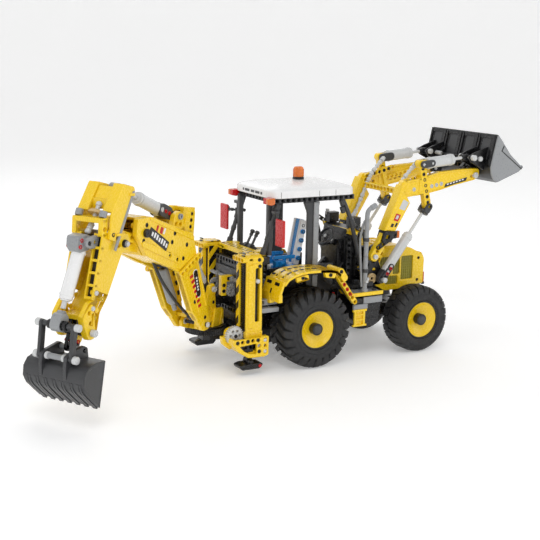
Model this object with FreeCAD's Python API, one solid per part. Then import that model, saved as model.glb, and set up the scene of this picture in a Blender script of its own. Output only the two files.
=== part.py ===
import FreeCAD, Part
import math
import os

# Toy backhoe loader, millimetres, +X towards the loader bucket, +Y to the left, +Z up.
# Everything is drawn about the rear axle (x = 0, y = 0, ground z = 0) and moved by
# CENTRE_X, CENTRE_Y at the end, so that the origin is under the middle of its outline.
CENTRE_X = 27.745
CENTRE_Y = 49.835

# The backhoe is drawn in its own upright plane: reach u outwards from the kingpost,
# height z, and side s. It stands swung by SWING degrees to the right.
SWING = 30.0
KINGPOST_X = -122.0

# Axles and fits
PIN_R = 2.4
RUN_R = 2.45
KINGPOST_R = 4.0
KINGPOST_RUN_R = 4.05

# Wheels
REAR_R = 53.5
FRONT_R = 47.0
FRONT_X = 175.0
FRONT_Z = 47.0
REAR_IN, REAR_OUT = 44.0, 88.0
FRONT_IN, FRONT_OUT = 48.0, 86.0
RIM_R = 27.0
DISH_R = 25.4
KNUCKLE_Y = 40.0

# Loader pivots (x, z) and the side plane that its arms and cylinders run in
ARM_PIVOT = (112.0, 137.0)
ARM_TIP = (285.0, 242.5)
LIFT_BASE = (126.0, 103.5)
LIFT_EYE = (201.0, 202.0)
TILT_BASE = (188.0, 262.0)
TILT_EYE = (271.0, 269.0)
ARM_IN, ARM_MID, ARM_OUT = 45.0, 49.0, 53.0
LOADER_HALF = 75.0

# Backhoe pivots (u, z)
BOOM_FOOT = (36.0, 66.0)
BOOM_CYL_BASE = (6.0, 106.0)
BOOM_CYL_EYE = (62.0, 190.0)
STICK_PIVOT = (206.0, 198.0)
DIPPER_BASE = (86.0, 213.0)
DIPPER_EYE = (194.0, 260.0)
BUCKET_CYL_BASE = (268.0, 206.0)
ROCKER_PIVOT = (269.0, 107.0)
UPPER_AXLE = (297.0, 119.0)
LOWER_AXLE = (302.0, 84.0)
BUCKET_PIVOT = (276.0, 88.0)
BUCKET_HALF = 43.5

# Stabilisers
TOWER_X0, TOWER_X1 = -100.0, -77.0
TOWER_IN, TOWER_OUT = 42.0, 70.0
PINION = (-112.0, 53.0)
PINION_TEETH = 24
PITCH_R = 12.0
RACK_IN, RACK_OUT = 56.0, 64.0
TOOTH_HALF = 0.55
PAD_PIVOT = (-94.0, 18.5)


def point(x, y, z):
    return FreeCAD.Vector(x, y, z)


def box(x0, x1, y0, y1, z0, z1):
    return Part.makeBox(x1 - x0, y1 - y0, z1 - z0, point(x0, y0, z0))


def rod(a, b, radius):
    start = point(*a)
    along = point(*b) - start
    return Part.makeCylinder(radius, along.Length, start, along)


def pin(at, y0, y1, radius=PIN_R):
    """A round bar along Y through the point (x, z)."""
    return rod((at[0], y0, at[1]), (at[0], y1, at[1]), radius)


def face(corners):
    return Part.Face(Part.makePolygon(corners + corners[:1]))


def plate(outline, y0, y1):
    """An outline in (x, z), from y0 to y1."""
    return face([point(x, y0, z) for x, z in outline]).extrude(point(0, y1 - y0, 0))


def slab(outline, z0, z1):
    """An outline in (x, y), from z0 to z1."""
    return face([point(x, y, z0) for x, y in outline]).extrude(point(0, 0, z1 - z0))


def section(outline, x0, x1):
    """An outline in (y, z), from x0 to x1."""
    return face([point(x0, y, z) for y, z in outline]).extrude(point(x1 - x0, 0, 0))


def join(*shapes):
    return shapes[0].fuse(list(shapes[1:])).removeSplitter()


def beam(a, b, half, y0, y1):
    """A bar with round ends between two points in (x, z)."""
    length = math.hypot(b[0] - a[0], b[1] - a[1])
    nx = -(b[1] - a[1]) / length * half
    nz = (b[0] - a[0]) / length * half
    middle = [(a[0] + nx, a[1] + nz), (b[0] + nx, b[1] + nz), (b[0] - nx, b[1] - nz), (a[0] - nx, a[1] - nz)]
    return join(plate(middle, y0, y1), pin(a, y0, y1, half), pin(b, y0, y1, half))


def along(a, b, distance):
    """The point at a distance from a towards b, in (x, z)."""
    length = math.hypot(b[0] - a[0], b[1] - a[1])
    return (a[0] + (b[0] - a[0]) * distance / length, a[1] + (b[1] - a[1]) * distance / length)


def bar(a, b, radius, y):
    """A round bar between two points in (x, z) at one y."""
    return rod((a[0], y, a[1]), (b[0], y, b[1]), radius)


def mirrored(shape):
    return shape.mirror(point(0, 0, 0), point(0, 1, 0))


def both(shape):
    return [shape, mirrored(shape)]


def side(shape, hand):
    """The shape as drawn for the left (+1), or mirrored for the right (-1)."""
    return shape if hand > 0 else mirrored(shape)


def turned(profile, x, z):
    """A profile of (radius, y) turned about the Y line through (x, z)."""
    corners = [point(x + r, y, z) for r, y in profile]
    return face(corners).revolve(point(x, 0, z), point(0, 1, 0), 360)


def back(at):
    """(u, z) in the backhoe's plane as (x, z) before it is swung."""
    return (-at[0], at[1])


def backs(outline):
    return [back(at) for at in outline]


nodes = {}


def keep(name, shapes):
    nodes[name] = [shapes] if isinstance(shapes, Part.Shape) else list(shapes)


def keep_swung(name, shapes):
    keep(name, shapes)
    for shape in nodes[name]:
        shape.rotate(point(0, 0, 0), point(0, 0, 1), SWING)
        shape.translate(point(KINGPOST_X, 0, 0))


# ---------------------------------------------------------------- chassis
def chassis():
    rails = both(box(-90, 205, 12, 22, 44, 60))
    housing = rod((0, -40, REAR_R), (0, 40, REAR_R), 9)
    engine_block = box(-60, 105, -36, 36, 60, 95).cut(box(14, 99, -32, 32, 59, 91))
    engine_block = engine_block.cut(box(-56, -14, -32, 32, 59, 91))
    floor = slab([(-64, -42), (62, -42), (62, -50), (113, -50), (113, 50), (62, 50), (62, 42), (-64, 42)], 95, 101)
    arches = both(box(-50, 50, 38, 42, 101, 132))
    front_end = box(205, 217, -22, 22, 44, 84)
    radiator_stand = box(140, 150, -22, 22, 60, 95)
    rear_cheeks = both(box(-90, -64, 26, 34, 44, 140))
    cross_low = box(-90, -80, -42, 42, 60, 74)
    rear_wall = box(-90, -84, -34, 34, 74, 140)
    deck = box(-77, -55, -50, 50, 140, 150)
    deck_post = box(-64, -58, -36, 36, 95, 140)
    lower_lug = slab([(-122, -12), (-80, -16), (-80, 16), (-122, 12), (-131, 8), (-131, -8)], 36, 45)
    upper_lug = join(box(-122, -88, -4, 4, 82, 93), rod((KINGPOST_X, 0, 82), (KINGPOST_X, 0, 93), 8))
    lug_web = box(-90, -80, -16, 16, 36, 46)
    seat_stub = rod((-8, 0, 101), (-8, 0, 113), KINGPOST_R)
    body = join(*rails, housing, engine_block, floor, *arches, front_end, radiator_stand, *rear_cheeks, cross_low,
                rear_wall, deck, deck_post, lower_lug, upper_lug, lug_web, seat_stub)
    body = body.cut(pin((0, REAR_R), -60, 60))
    kingpost = rod((KINGPOST_X, 0, 36), (KINGPOST_X, 0, 94), KINGPOST_R)
    console = join(box(78, 98, -28, 28, 101, 164), plate([(78, 164), (98, 164), (92, 177), (80, 174)], -28, 28),
                   rod((90, -10, 141), (68.8, -10, 155.4), 4))
    keep("chassis_frame", join(body, kingpost, console))
    keep("rear_axle", pin((0, REAR_R), -76, 76))
    bridge = join(box(FRONT_X - 8, FRONT_X + 8, -32, 32, 40, 44), box(FRONT_X - 8, FRONT_X + 8, -12, 12, 40, 60),
                  *both(box(FRONT_X - 8, FRONT_X + 8, 22, 32, 40, 54)),
                  *both(rod((FRONT_X, KNUCKLE_Y, 40), (FRONT_X, KNUCKLE_Y, 54), 6)),
                  *both(box(FRONT_X - 5, FRONT_X + 5, 30, KNUCKLE_Y, 40, 54)))
    for hand in (1, -1):
        bridge = bridge.cut(rod((FRONT_X, hand * KNUCKLE_Y, 30), (FRONT_X, hand * KNUCKLE_Y, 70), RUN_R))
    keep("front_axle", bridge)


# ---------------------------------------------------------------- wheels
def wheel(name, hand, x, z, radius, inner, outer, rim_in, rim_out):
    shoulder = radius - 3.5
    hollow = radius - 5.5
    tyre = [(RIM_R, rim_in), (34, inner), (radius - 9, inner + 1), (shoulder, inner + 4), (radius, inner + 10),
            (radius, outer - 10), (shoulder, outer - 4), (radius - 9, outer - 1), (34, outer), (RIM_R, rim_out),
            (RIM_R, rim_out - 5), (33, rim_out - 5), (hollow - 6, outer - 6), (hollow, outer - 13),
            (hollow, inner + 13), (hollow - 6, inner + 6), (33, rim_in + 5), (RIM_R, rim_in + 5)]
    rim = [(RUN_R, rim_in + 6), (8, rim_in + 6), (8, rim_in + 18), (24, rim_in + 18), (24, rim_in),
           (RIM_R, rim_in), (RIM_R, rim_out), (DISH_R, rim_out), (DISH_R, rim_out - 2), (12, rim_out - 7),
           (7, rim_out - 7), (7, rim_out - 5), (4, rim_out - 3), (0, rim_out - 2.5), (0, rim_out - 9),
           (RUN_R, rim_out - 9)]
    keep("tyre_" + name, side(turned(tyre, x, z), hand))
    keep("rim_" + name, side(turned(rim, x, z), hand))


def knuckle(name, hand):
    arms = join(box(FRONT_X - 6, FRONT_X + 6, 33, 52, 54.3, 60), box(FRONT_X - 6, FRONT_X + 6, 33, 52, 33.7, 39.7),
                box(FRONT_X - 6, FRONT_X + 6, 47.5, 52, 33.7, 60),
                rod((FRONT_X, KNUCKLE_Y, 33.7), (FRONT_X, KNUCKLE_Y, 60), PIN_R),
                pin((FRONT_X, FRONT_Z), 50, 74))
    keep("steering_knuckle_" + name, side(arms, hand))


# ---------------------------------------------------------------- bodywork
def side_steps():
    tank = join(box(65, 105, 36, 72, 47, 86), box(68, 102, 22, 36, 47, 60))
    tank = tank.cut(plate([(60, 86), (60, 74), (65, 90), (65, 86)], 30, 80))
    keep("side_tanks", both(tank))
    ladder = join(box(66, 70, 72, 75, 48, 82), box(80, 84, 72, 75, 48, 82),
                  *[box(70, 80, 72, 75, z, z + 3) for z in (50, 62, 74)])
    ledge = box(62, 113, 38, 73, 86, 94).cut(box(60, 112, 30, 52, 80, 95))
    keep("side_steps", both(join(ladder, ledge)))


def hood():
    outer = [(129, 89), (213, 86), (213, 129), (173, 146), (130, 146), (124, 134)]
    inner = [(124, 80), (210, 80), (210, 127), (172, 142.5), (132, 142.5), (120, 134)]
    half = 34
    shell = plate(outer, -half, half).cut(plate(inner, 3 - half, half - 3))
    windows = [(136, 154, 112, 134), (158, 176, 106, 134), (180, 196, 96, 128)]
    for x0, x1, z0, z1 in windows:
        shell = shell.cut(box(x0, x1, -half - 1, half + 1, z0, z1))
    shell = shell.cut(box(205, 220, -16, 16, 92, 124))
    keep("hood", shell)
    meshes = [box(x0, x1, 31, 33, z0, z1) for x0, x1, z0, z1 in windows]
    keep("hood_grilles", [*meshes, *[mirrored(mesh) for mesh in meshes], box(210, 212, -16, 16, 92, 124)])


def cab():
    ring = box(-50, 76, -50, 50, 219, 226).cut(box(-42, 68, -42, 42, 218, 227))
    front = [join(beam((62, 219), (75, 186), 3, 44, 49), beam((75, 186), (99.6, 104.1), 3, 44, 49))]
    middle = [box(10, 20, 42, 49, 105.5, 219)]
    rear = [join(box(-54, -47, 36, 43, 150, 219.4), beam((-42, 218), (-64, 153), 3, 44, 49))]
    posts = front + middle + rear
    frame = join(ring, *posts, *[mirrored(post) for post in posts], *both(rod((-47, 54, 190), (-47, 54, 207), 1.6)),
                 *both(box(-52, -45, 46, 56, 207, 211)))
    keep("cab_frame", frame)
    across = section([(-52, 226), (52, 226), (52, 235), (42, 239), (16, 243), (-16, 243), (-42, 239), (-52, 235)],
                     -50, 78)
    plan = slab([(-50, -38), (-36, -52), (64, -52), (78, -38), (78, 38), (64, 52), (-36, 52), (-50, 38)], 225, 245)
    length = plate([(-50, 226), (78, 226), (78, 231), (60, 240), (50, 243), (-34, 243), (-50, 236)], -60, 60)
    roof = across.common(plan).common(length).cut(box(-44, 72, -46, 46, 225, 232))
    roof = join(roof, rod((17, 0, 231), (17, 0, 240), 6))
    keep("roof", roof.cut(rod((17, 0, 230), (17, 0, 250), RUN_R)))
    keep("beacon", join(rod((17, 0, 243.4), (17, 0, 261), 7.5), rod((17, 0, 232), (17, 0, 245), PIN_R)))
    keep("lamps", both(box(-60, -50, 41, 53, 219.5, 229)) + both(box(213, 216, 18, 30, 90, 118)))


def fenders():
    outer = [(-62, 105), (-55, 127.5), (-19, 135), (23, 132), (50, 92)]
    inner = [(47, 91), (21.6, 128.9), (-19, 131.8), (-52.6, 125), (-59, 104.5)]
    top = plate(outer + inner, 42, 92)
    top = top.cut(box(24, 60, 40, 62, 80, 131)).cut(box(9.5, 20.5, 40, 49.5, 100, 140))
    keep("fenders", both(top))


def small_parts():
    pipe = join(rod((86, -68, 94), (86, -68, 203), 3.2), Part.makeSphere(3.2, point(86, -68, 203)),
                rod((86, -68, 203), (98, -68, 211), 3.2))
    keep("exhaust_pipe", pipe)
    bracket = join(box(-109, -101, -18, -10, 96, 123), box(-109, -90, -18, -10, 115, 123))
    ledge = box(-84, -56, -42, 42, 150, 157)
    ledge = ledge.cut(box(-66, -50, -26, 26, 149, 158))
    keep("rear_deck", [bracket, ledge])
    column_end = (58, -10, 163)
    away = point(-0.825, 0, 0.565)
    centre = point(*column_end)
    ring = Part.makeTorus(13, 1.6, centre, away)
    hub = Part.makeCylinder(4, 4, centre - away * 3, away)
    spokes = [rod(column_end, tuple(centre + direction * 13), 1.3)
              for direction in (point(0, 1, 0), point(0, -1, 0), point(-0.565, 0, -0.825))]
    shaft = Part.makeCylinder(PIN_R, 8, centre - away * 11, away)
    keep("steering_wheel", join(ring, hub, *spokes, shaft))


def seat():
    bush = rod((-8, 0, 101.3), (-8, 0, 119), 9).cut(rod((-8, 0, 100), (-8, 0, 113.5), KINGPOST_RUN_R))
    cushion = plate([(-32, 119), (8, 119), (8, 128), (-32, 130)], -15, 15)
    back_rest = plate([(1, 119), (9, 119), (21, 188), (12, 189)], -15, 15)
    arms = both(plate([(-28, 138), (4, 138), (5, 143), (-28, 143)], 13, 16))
    posts = both(box(-14, -9, 13, 16, 124, 138))
    keep("seat", join(bush, cushion, back_rest, *arms, *posts))


def levers():
    sticks = [join(rod((-60, y, 158), (-51, y, 175), 1.6), Part.makeSphere(2.6, point(-51, y, 175))) for y in (-9, 4)]
    hub = pin((-60, 156.5), -16, 16, 3.5)
    keep("control_levers", join(hub, *sticks, pin((-60, 156.5), -21.5, 21.5)))


def mirror(name, hand):
    panel = box(-57, -54, 64, 76, 165, 203)
    clip = rod((-47, 54, 194), (-47, 54, 200), 3.4)
    arm = rod((-49, 56, 197), (-55.5, 66, 197), 1.6)
    whole = join(panel, arm, clip).cut(rod((-47, 54, 190), (-47, 54, 210), 1.65))
    keep("mirror_" + name, side(whole, hand))


def pedestals():
    post = plate([(98, 94), (132, 94), (134, 108), (120, 146), (104, 146), (98, 120)], 38, 41.8)
    post = join(post, pin(ARM_PIVOT, 38, 56), pin(LIFT_BASE, 38, 59), pin((121, 104), 41.6, 44.4, 7.5),
                box(98, 132, 34, 41.8, 94, 101))
    keep("loader_pedestals", both(post.cut(box(90, 113, 30, 51, 90, 101))))


# ---------------------------------------------------------------- loader
def loader():
    upper = plate([(151, 233), (159, 217), (194, 219.5), (221, 224), (248, 230), (284, 236), (292, 240), (292, 250),
                   (288, 252.5), (256, 252), (219, 250), (184, 242), (155, 239)], ARM_IN, ARM_OUT)
    lower = join(beam(ARM_PIVOT, (134, 172), 7, ARM_IN, ARM_OUT), beam((134, 172), (155, 226), 6, ARM_IN, ARM_OUT))
    lever = join(beam(TILT_BASE, LIFT_EYE, 5, ARM_IN, ARM_OUT))
    arm = join(upper, lower, lever, pin(TILT_BASE, ARM_IN - 4, ARM_OUT + 4), pin(ARM_TIP, 37, ARM_OUT + 2))
    arm = arm.cut(pin(ARM_PIVOT, 30, 70, RUN_R))
    cross = pin((158, 224), -ARM_IN, ARM_IN, 4)
    motor_box = plate([(121, 158), (136, 156), (144, 171), (125, 173)], ARM_IN - 4, ARM_OUT + 4)
    arm = join(arm, motor_box)
    keep("loader_arms", join(arm, mirrored(arm), cross))
    cover = plate([(125, 173), (144, 171), (166, 209), (151, 233)], ARM_IN - 4, ARM_OUT + 4)
    keep("loader_arm_covers", both(cover.cut(arm).cut(cross)))

    foot = beam(LIFT_BASE, along(LIFT_BASE, LIFT_EYE, 12), 6, ARM_IN, ARM_OUT)
    barrel = join(foot, bar(along(LIFT_BASE, LIFT_EYE, 10), along(LIFT_BASE, LIFT_EYE, 77.5), 7, ARM_MID))
    barrel = barrel.cut(bar(along(LIFT_BASE, LIFT_EYE, 14), along(LIFT_BASE, LIFT_EYE, 90), RUN_R, ARM_MID))
    barrel = barrel.cut(pin(LIFT_BASE, 30, 70, RUN_R))
    keep("lift_barrels", both(barrel))
    fork = [beam(LIFT_EYE, along(LIFT_EYE, LIFT_BASE, 6), 5, y, y + 4) for y in (ARM_IN - 4.5, ARM_OUT + 0.5)]
    yoke = bar(along(LIFT_EYE, LIFT_BASE, 8), along(LIFT_EYE, LIFT_BASE, 11.5), 8.5, ARM_MID)
    keep("lift_rods", both(join(*fork, yoke, bar(along(LIFT_EYE, LIFT_BASE, 10), along(LIFT_EYE, LIFT_BASE, 72),
                                                 PIN_R, ARM_MID))))

    ears = [beam(TILT_BASE, along(TILT_BASE, TILT_EYE, 16), 6, y, y + 4) for y in (ARM_IN - 4.5, ARM_OUT + 0.5)]
    yoke = beam(along(TILT_BASE, TILT_EYE, 13), along(TILT_BASE, TILT_EYE, 16), 6, ARM_IN - 4.5, ARM_OUT + 4.5)
    barrel = join(*ears, yoke, bar(along(TILT_BASE, TILT_EYE, 14), along(TILT_BASE, TILT_EYE, 59), 8, ARM_MID))
    barrel = barrel.cut(bar(along(TILT_BASE, TILT_EYE, 22), along(TILT_BASE, TILT_EYE, 90), RUN_R, ARM_MID))
    barrel = barrel.cut(pin(TILT_BASE, 30, 70, RUN_R))
    keep("tilt_barrels", both(barrel))
    eye = beam(TILT_EYE, along(TILT_EYE, TILT_BASE, 8), 5, ARM_MID - 3, ARM_MID + 3)
    keep("tilt_rods", both(join(eye, bar(along(TILT_EYE, TILT_BASE, 6), along(TILT_EYE, TILT_BASE, 49),
                                         PIN_R, ARM_MID))))

    outer = [(305, 302), (294, 255), (297, 240), (307, 233), (347, 247), (355, 252.5)]
    inner = [(354, 255), (346, 250), (309, 237), (300, 242), (297.5, 256), (308, 301)]
    shell = plate(outer + inner, -LOADER_HALF, LOADER_HALF)
    cheek = plate(outer + [(330, 272), (312, 294)], LOADER_HALF - 3, LOADER_HALF)
    lug = plate([(279, 238), (296, 236), (299, 262), (294, 256), (279, 247)], 37.5, 43.5)
    lug = join(lug, beam(ARM_TIP, (296, 245), 6, 37.5, 43.5))
    ear = plate([(265, 270), (270, 262), (294, 250), (301, 284), (276, 276)], 57.5, 60.5)
    inner_ear = plate([(265, 270), (270, 262), (294, 250), (301, 284), (276, 276)], 37.5, 40.5)
    stubs = [pin(TILT_EYE, 40.5, 45.4), pin(TILT_EYE, 52.6, 57.5)]
    hand = join(lug, ear, inner_ear, *stubs)
    tub = join(shell, *both(cheek), *both(hand))
    keep("loader_bucket", tub.cut(pin(ARM_TIP, 30, 44, RUN_R)).cut(pin(ARM_TIP, -44, -30, RUN_R)))


# ---------------------------------------------------------------- stabilisers
def stabiliser(name, hand):
    walls = join(box(TOWER_X0, TOWER_X1, TOWER_OUT - 4, TOWER_OUT, 49, 158),
                 box(TOWER_X0, TOWER_X1, TOWER_IN, TOWER_IN + 4, 49, 158),
                 box(TOWER_X1 - 3, TOWER_X1, TOWER_IN, TOWER_OUT, 49, 158),
                 box(TOWER_X0, TOWER_X1, TOWER_IN, TOWER_OUT, 150, 158),
                 box(TOWER_X0 - 3, TOWER_X0, TOWER_IN, RACK_IN - 1, 62, 158),
                 box(-118, TOWER_X0 + 1, TOWER_IN, TOWER_IN + 6, 46, 60))
    walls = walls.cut(box(-86.4, -80.6, TOWER_OUT - 5, TOWER_OUT + 1, 70, 141))
    walls = walls.cut(pin(PINION, 30, 60, RUN_R))
    tower = side(walls, hand)

    stem = box(-98.7, -80.4, 46.4, 65.6, 24, 145)
    teeth = []
    for tooth in range(-3, 27):
        z = PINION[1] + math.pi * tooth
        teeth += [(-98.6, z - 1.0), (-99.95, z - TOOTH_HALF), (-100.8, z - 0.25), (-100.8, z + 0.25),
                  (-99.95, z + TOOTH_HALF), (-98.6, z + 1.0)]
    outline = [(-96, teeth[0][1])] + teeth + [(-96, teeth[-1][1])]
    strip = plate(outline, RACK_IN, RACK_OUT)
    foot = box(-98.7, -80.4, 46.4, 78, 24, 35)
    skirt = plate([(-70, 51), (-70, 28), (-80, 24), (-100, 25), (-114, 34), (-123, 46), (-120, 51)], 71, 78)
    lug = beam((PAD_PIVOT[0], 26), PAD_PIVOT, 4, 62.3, 69.7)
    pin_end = rod((-83.5, 60, 124), (-83.5, 71.5, 124), 2.4)
    leg = join(stem, strip, foot, skirt, lug, pin_end).cut(pin(PAD_PIVOT, 50, 80, RUN_R))
    keep("stabiliser_leg_" + name, side(leg, hand))

    gear = []
    for tooth in range(PINION_TEETH):
        middle = math.radians(360 / PINION_TEETH * (tooth + 0.5))
        for radius, half in ((10.75, -1.0), (PITCH_R, -TOOTH_HALF), (12.8, -0.25), (12.8, 0.25),
                             (PITCH_R, TOOTH_HALF), (10.75, 1.0)):
            angle = middle + half / radius
            gear.append((PINION[0] + radius * math.cos(angle), PINION[1] + radius * math.sin(angle)))
    keep("pinion_" + name, side(join(plate(gear, RACK_IN + 1, RACK_OUT - 1), pin(PINION, TOWER_IN, 66),
                                     pin(PINION, 48.3, RACK_IN + 1, 5)), hand))

    sole = plate([(-111, 12), (-107, 8.4), (-81, 8.4), (-77, 12), (-77, 14), (-111, 14)], 56, 76)
    ears = [beam(PAD_PIVOT, (PAD_PIVOT[0], 12), 3.5, 57.5, 62), beam(PAD_PIVOT, (PAD_PIVOT[0], 12), 3.5, 70, 74.5)]
    keep("stabiliser_pad_" + name, side(join(sole, *ears, pin(PAD_PIVOT, 56.5, 75.5)), hand))
    return tower


# ---------------------------------------------------------------- backhoe
def swing_post():
    teeth = []
    count = 60
    for tooth in range(count):
        middle = 2 * math.pi * tooth / count
        for radius, half in ((27, -0.8), (28.5, -0.4), (28.5, 0.4), (27, 0.8)):
            angle = middle + half / radius
            teeth.append((radius * math.cos(angle), radius * math.sin(angle)))
    ring = slab(teeth, 46, 54).cut(rod((0, 0, 40), (0, 0, 60), KINGPOST_RUN_R))
    keep_swung("swing_gear", ring)
    cheek = plate(backs([(-12, 54), (30, 54), (43, 60), (44, 68), (36, 74), (22, 84), (14, 112), (2, 113), (0, 100),
                         (0, 80), (-12, 74)]), 9, 14)
    trim = plate(backs([(-14, 54), (12, 54), (4, 80), (-14, 78)]), 14, 18)
    post = join(*both(cheek), *both(trim), rod((0, 0, 54), (0, 0, 81.7), 9.5),
                plate(backs([(8, 54), (30, 54), (22, 62), (8, 64)]), -9, 9),
                pin(back(BOOM_FOOT), -25, 25), pin(back(BOOM_CYL_BASE), -16, 16))
    keep_swung("swing_post", post.cut(rod((0, 0, 40), (0, 0, 90), KINGPOST_RUN_R)))


# Points of the boom hose's route (u, z) from its upper socket to its lower one, at s = HOSE_S
HOSE_ROUTE = [(127.8, 167.1), (113.0, 141.0), (89.0, 114.0), (66.0, 92.0), (47.0, 77.5)]
HOSE_S = -3.0
HOSE_R = 2.0


def hose():
    corners = [point(-u, HOSE_S, z) for u, z in HOSE_ROUTE]
    edges = []
    start = corners[0]
    for before, corner, after in zip(corners, corners[1:], corners[2:]):
        first, second = corner - before, after - corner
        half_turn = first.getAngle(second) / 2
        cut = 0.45 * min(first.Length, second.Length)
        radius = cut / math.tan(half_turn)
        print("hose bend radius", round(radius, 1), "mm")
        first.normalize()
        second.normalize()
        enter, leave = corner - first * cut, corner + second * cut
        inward = second - first
        inward.normalize()
        middle = corner + inward * (radius / math.cos(half_turn) - radius)
        edges.append(Part.LineSegment(start, enter).toShape())
        edges.append(Part.Arc(enter, middle, leave).toShape())
        start = leave
    edges.append(Part.LineSegment(start, corners[-1]).toShape())
    path = Part.Wire(edges)
    direction = corners[1] - corners[0]
    ring = Part.Wire([Part.makeCircle(HOSE_R, corners[0], direction)])
    tube = path.makePipeShell([ring], True, True)
    print("hose length", round(path.Length, 1), "volume error",
          round(tube.Volume / (math.pi * HOSE_R ** 2 * path.Length) - 1, 4))
    keep_swung("boom_hose", tube)


def socket(end, towards, depth):
    """A round gland that a hose end meets face to face."""
    a = point(-end[0], HOSE_S, end[1])
    outward = a - point(-towards[0], HOSE_S, towards[1])
    return Part.makeCylinder(3.4, depth, a, outward)


def boom():
    lower = plate(backs([(30, 58), (42, 58), (56, 74), (70, 89), (98, 146), (120, 156), (128, 170), (100, 192),
                         (66, 192), (60, 163), (34, 93), (27, 68)]), 16, 24)
    upper = plate(backs([(60, 163), (96, 147), (124, 156), (166, 176), (186, 205), (183, 224), (157, 223), (108, 202),
                         (68, 192)]), 16, 24)
    tip = plate(backs([(140, 182), (166, 180), (206, 188), (216, 196), (214, 207), (206, 209), (180, 206),
                       (140, 204)]), 6, 12)
    spacer = plate(backs([(142, 184), (164, 184), (164, 203), (142, 203)]), 12, 16)
    elbow_ear = plate(backs([(98, 152), (66, 160), (53, 182), (50, 216), (66, 222), (76, 200), (100, 190)]), 8, 16)
    top_ear = plate(backs([(74, 192), (102, 200), (96, 216), (86, 220), (78, 216)]), 8.5, 16)
    ties = [pin(back(at), -16, 16, 3.5) for at in ((93, 150), (150, 194))]
    gland = socket(HOSE_ROUTE[-1], HOSE_ROUTE[-2], 7)
    upper_gland = socket(HOSE_ROUTE[0], HOSE_ROUTE[1], 12)
    crossbar = box(-136, -124, -16, 16, 170, 182)
    low_bar = box(-46, -40, -16, 16, 74, 79)
    frame = join(*both(lower), *both(upper), *both(tip), *both(spacer), *both(elbow_ear), *both(top_ear), *ties,
                 crossbar, low_bar, gland, upper_gland, *both(pin(back(BOOM_CYL_EYE), 6.8, 10)),
                 pin(back(DIPPER_BASE), -12, 12), pin(back(STICK_PIVOT), -24, 24))
    for sign in (-1, 1):
        ends = (-30, -15) if sign < 0 else (15, 30)
        frame = frame.cut(pin(back(BOOM_FOOT), *ends, RUN_R))
    frame = join(frame, bar(back((95, 147)), back((68, 89)), 7, 6.5))
    cover = plate(backs([(104, 196.5), (158, 219), (180, 221), (180, 224), (157, 223), (104, 200)]), -16, 16)
    fairing = plate(backs([(126, 156.9), (166, 176), (164, 179.5), (124, 160.5)]), -16, 16)
    hose_way = rod((-127.8, HOSE_S, 167.1), (-113, HOSE_S, 141), 3.6)
    fairing = fairing.cut(upper_gland).cut(hose_way).cut(frame)
    keep_swung("boom_frame", frame)
    keep_swung("boom_covers", [cover, fairing])

    base, eye = back(BOOM_CYL_BASE), back(BOOM_CYL_EYE)
    foot = beam(base, along(base, eye, 12), 5.5, -6, 6)
    barrel = join(foot, bar(along(base, eye, 9), along(base, eye, 62), 7, 0))
    barrel = barrel.cut(bar(along(base, eye, 14), along(base, eye, 80), RUN_R, 0)).cut(pin(base, -20, 20, RUN_R))
    keep_swung("boom_barrel", barrel)
    keep_swung("boom_rod", join(beam(eye, along(eye, base, 8), 5, -6, 6), bar(along(eye, base, 6), along(eye, base, 58),
                                                                              PIN_R, 0)))
    base, eye = back(DIPPER_BASE), back(DIPPER_EYE)
    foot = beam(base, along(base, eye, 14), 5.5, -7, 7)
    barrel = join(foot, bar(along(base, eye, 11), along(base, eye, 74), 8, 0))
    barrel = barrel.cut(bar(along(base, eye, 18), along(base, eye, 90), RUN_R, 0)).cut(pin(base, -20, 20, RUN_R))
    keep_swung("dipper_barrel", barrel)
    keep_swung("dipper_rod", join(beam(eye, along(eye, base, 8), 5, -6, 6), bar(along(eye, base, 6),
                                                                                along(eye, base, 72), PIN_R, 0)))


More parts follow.
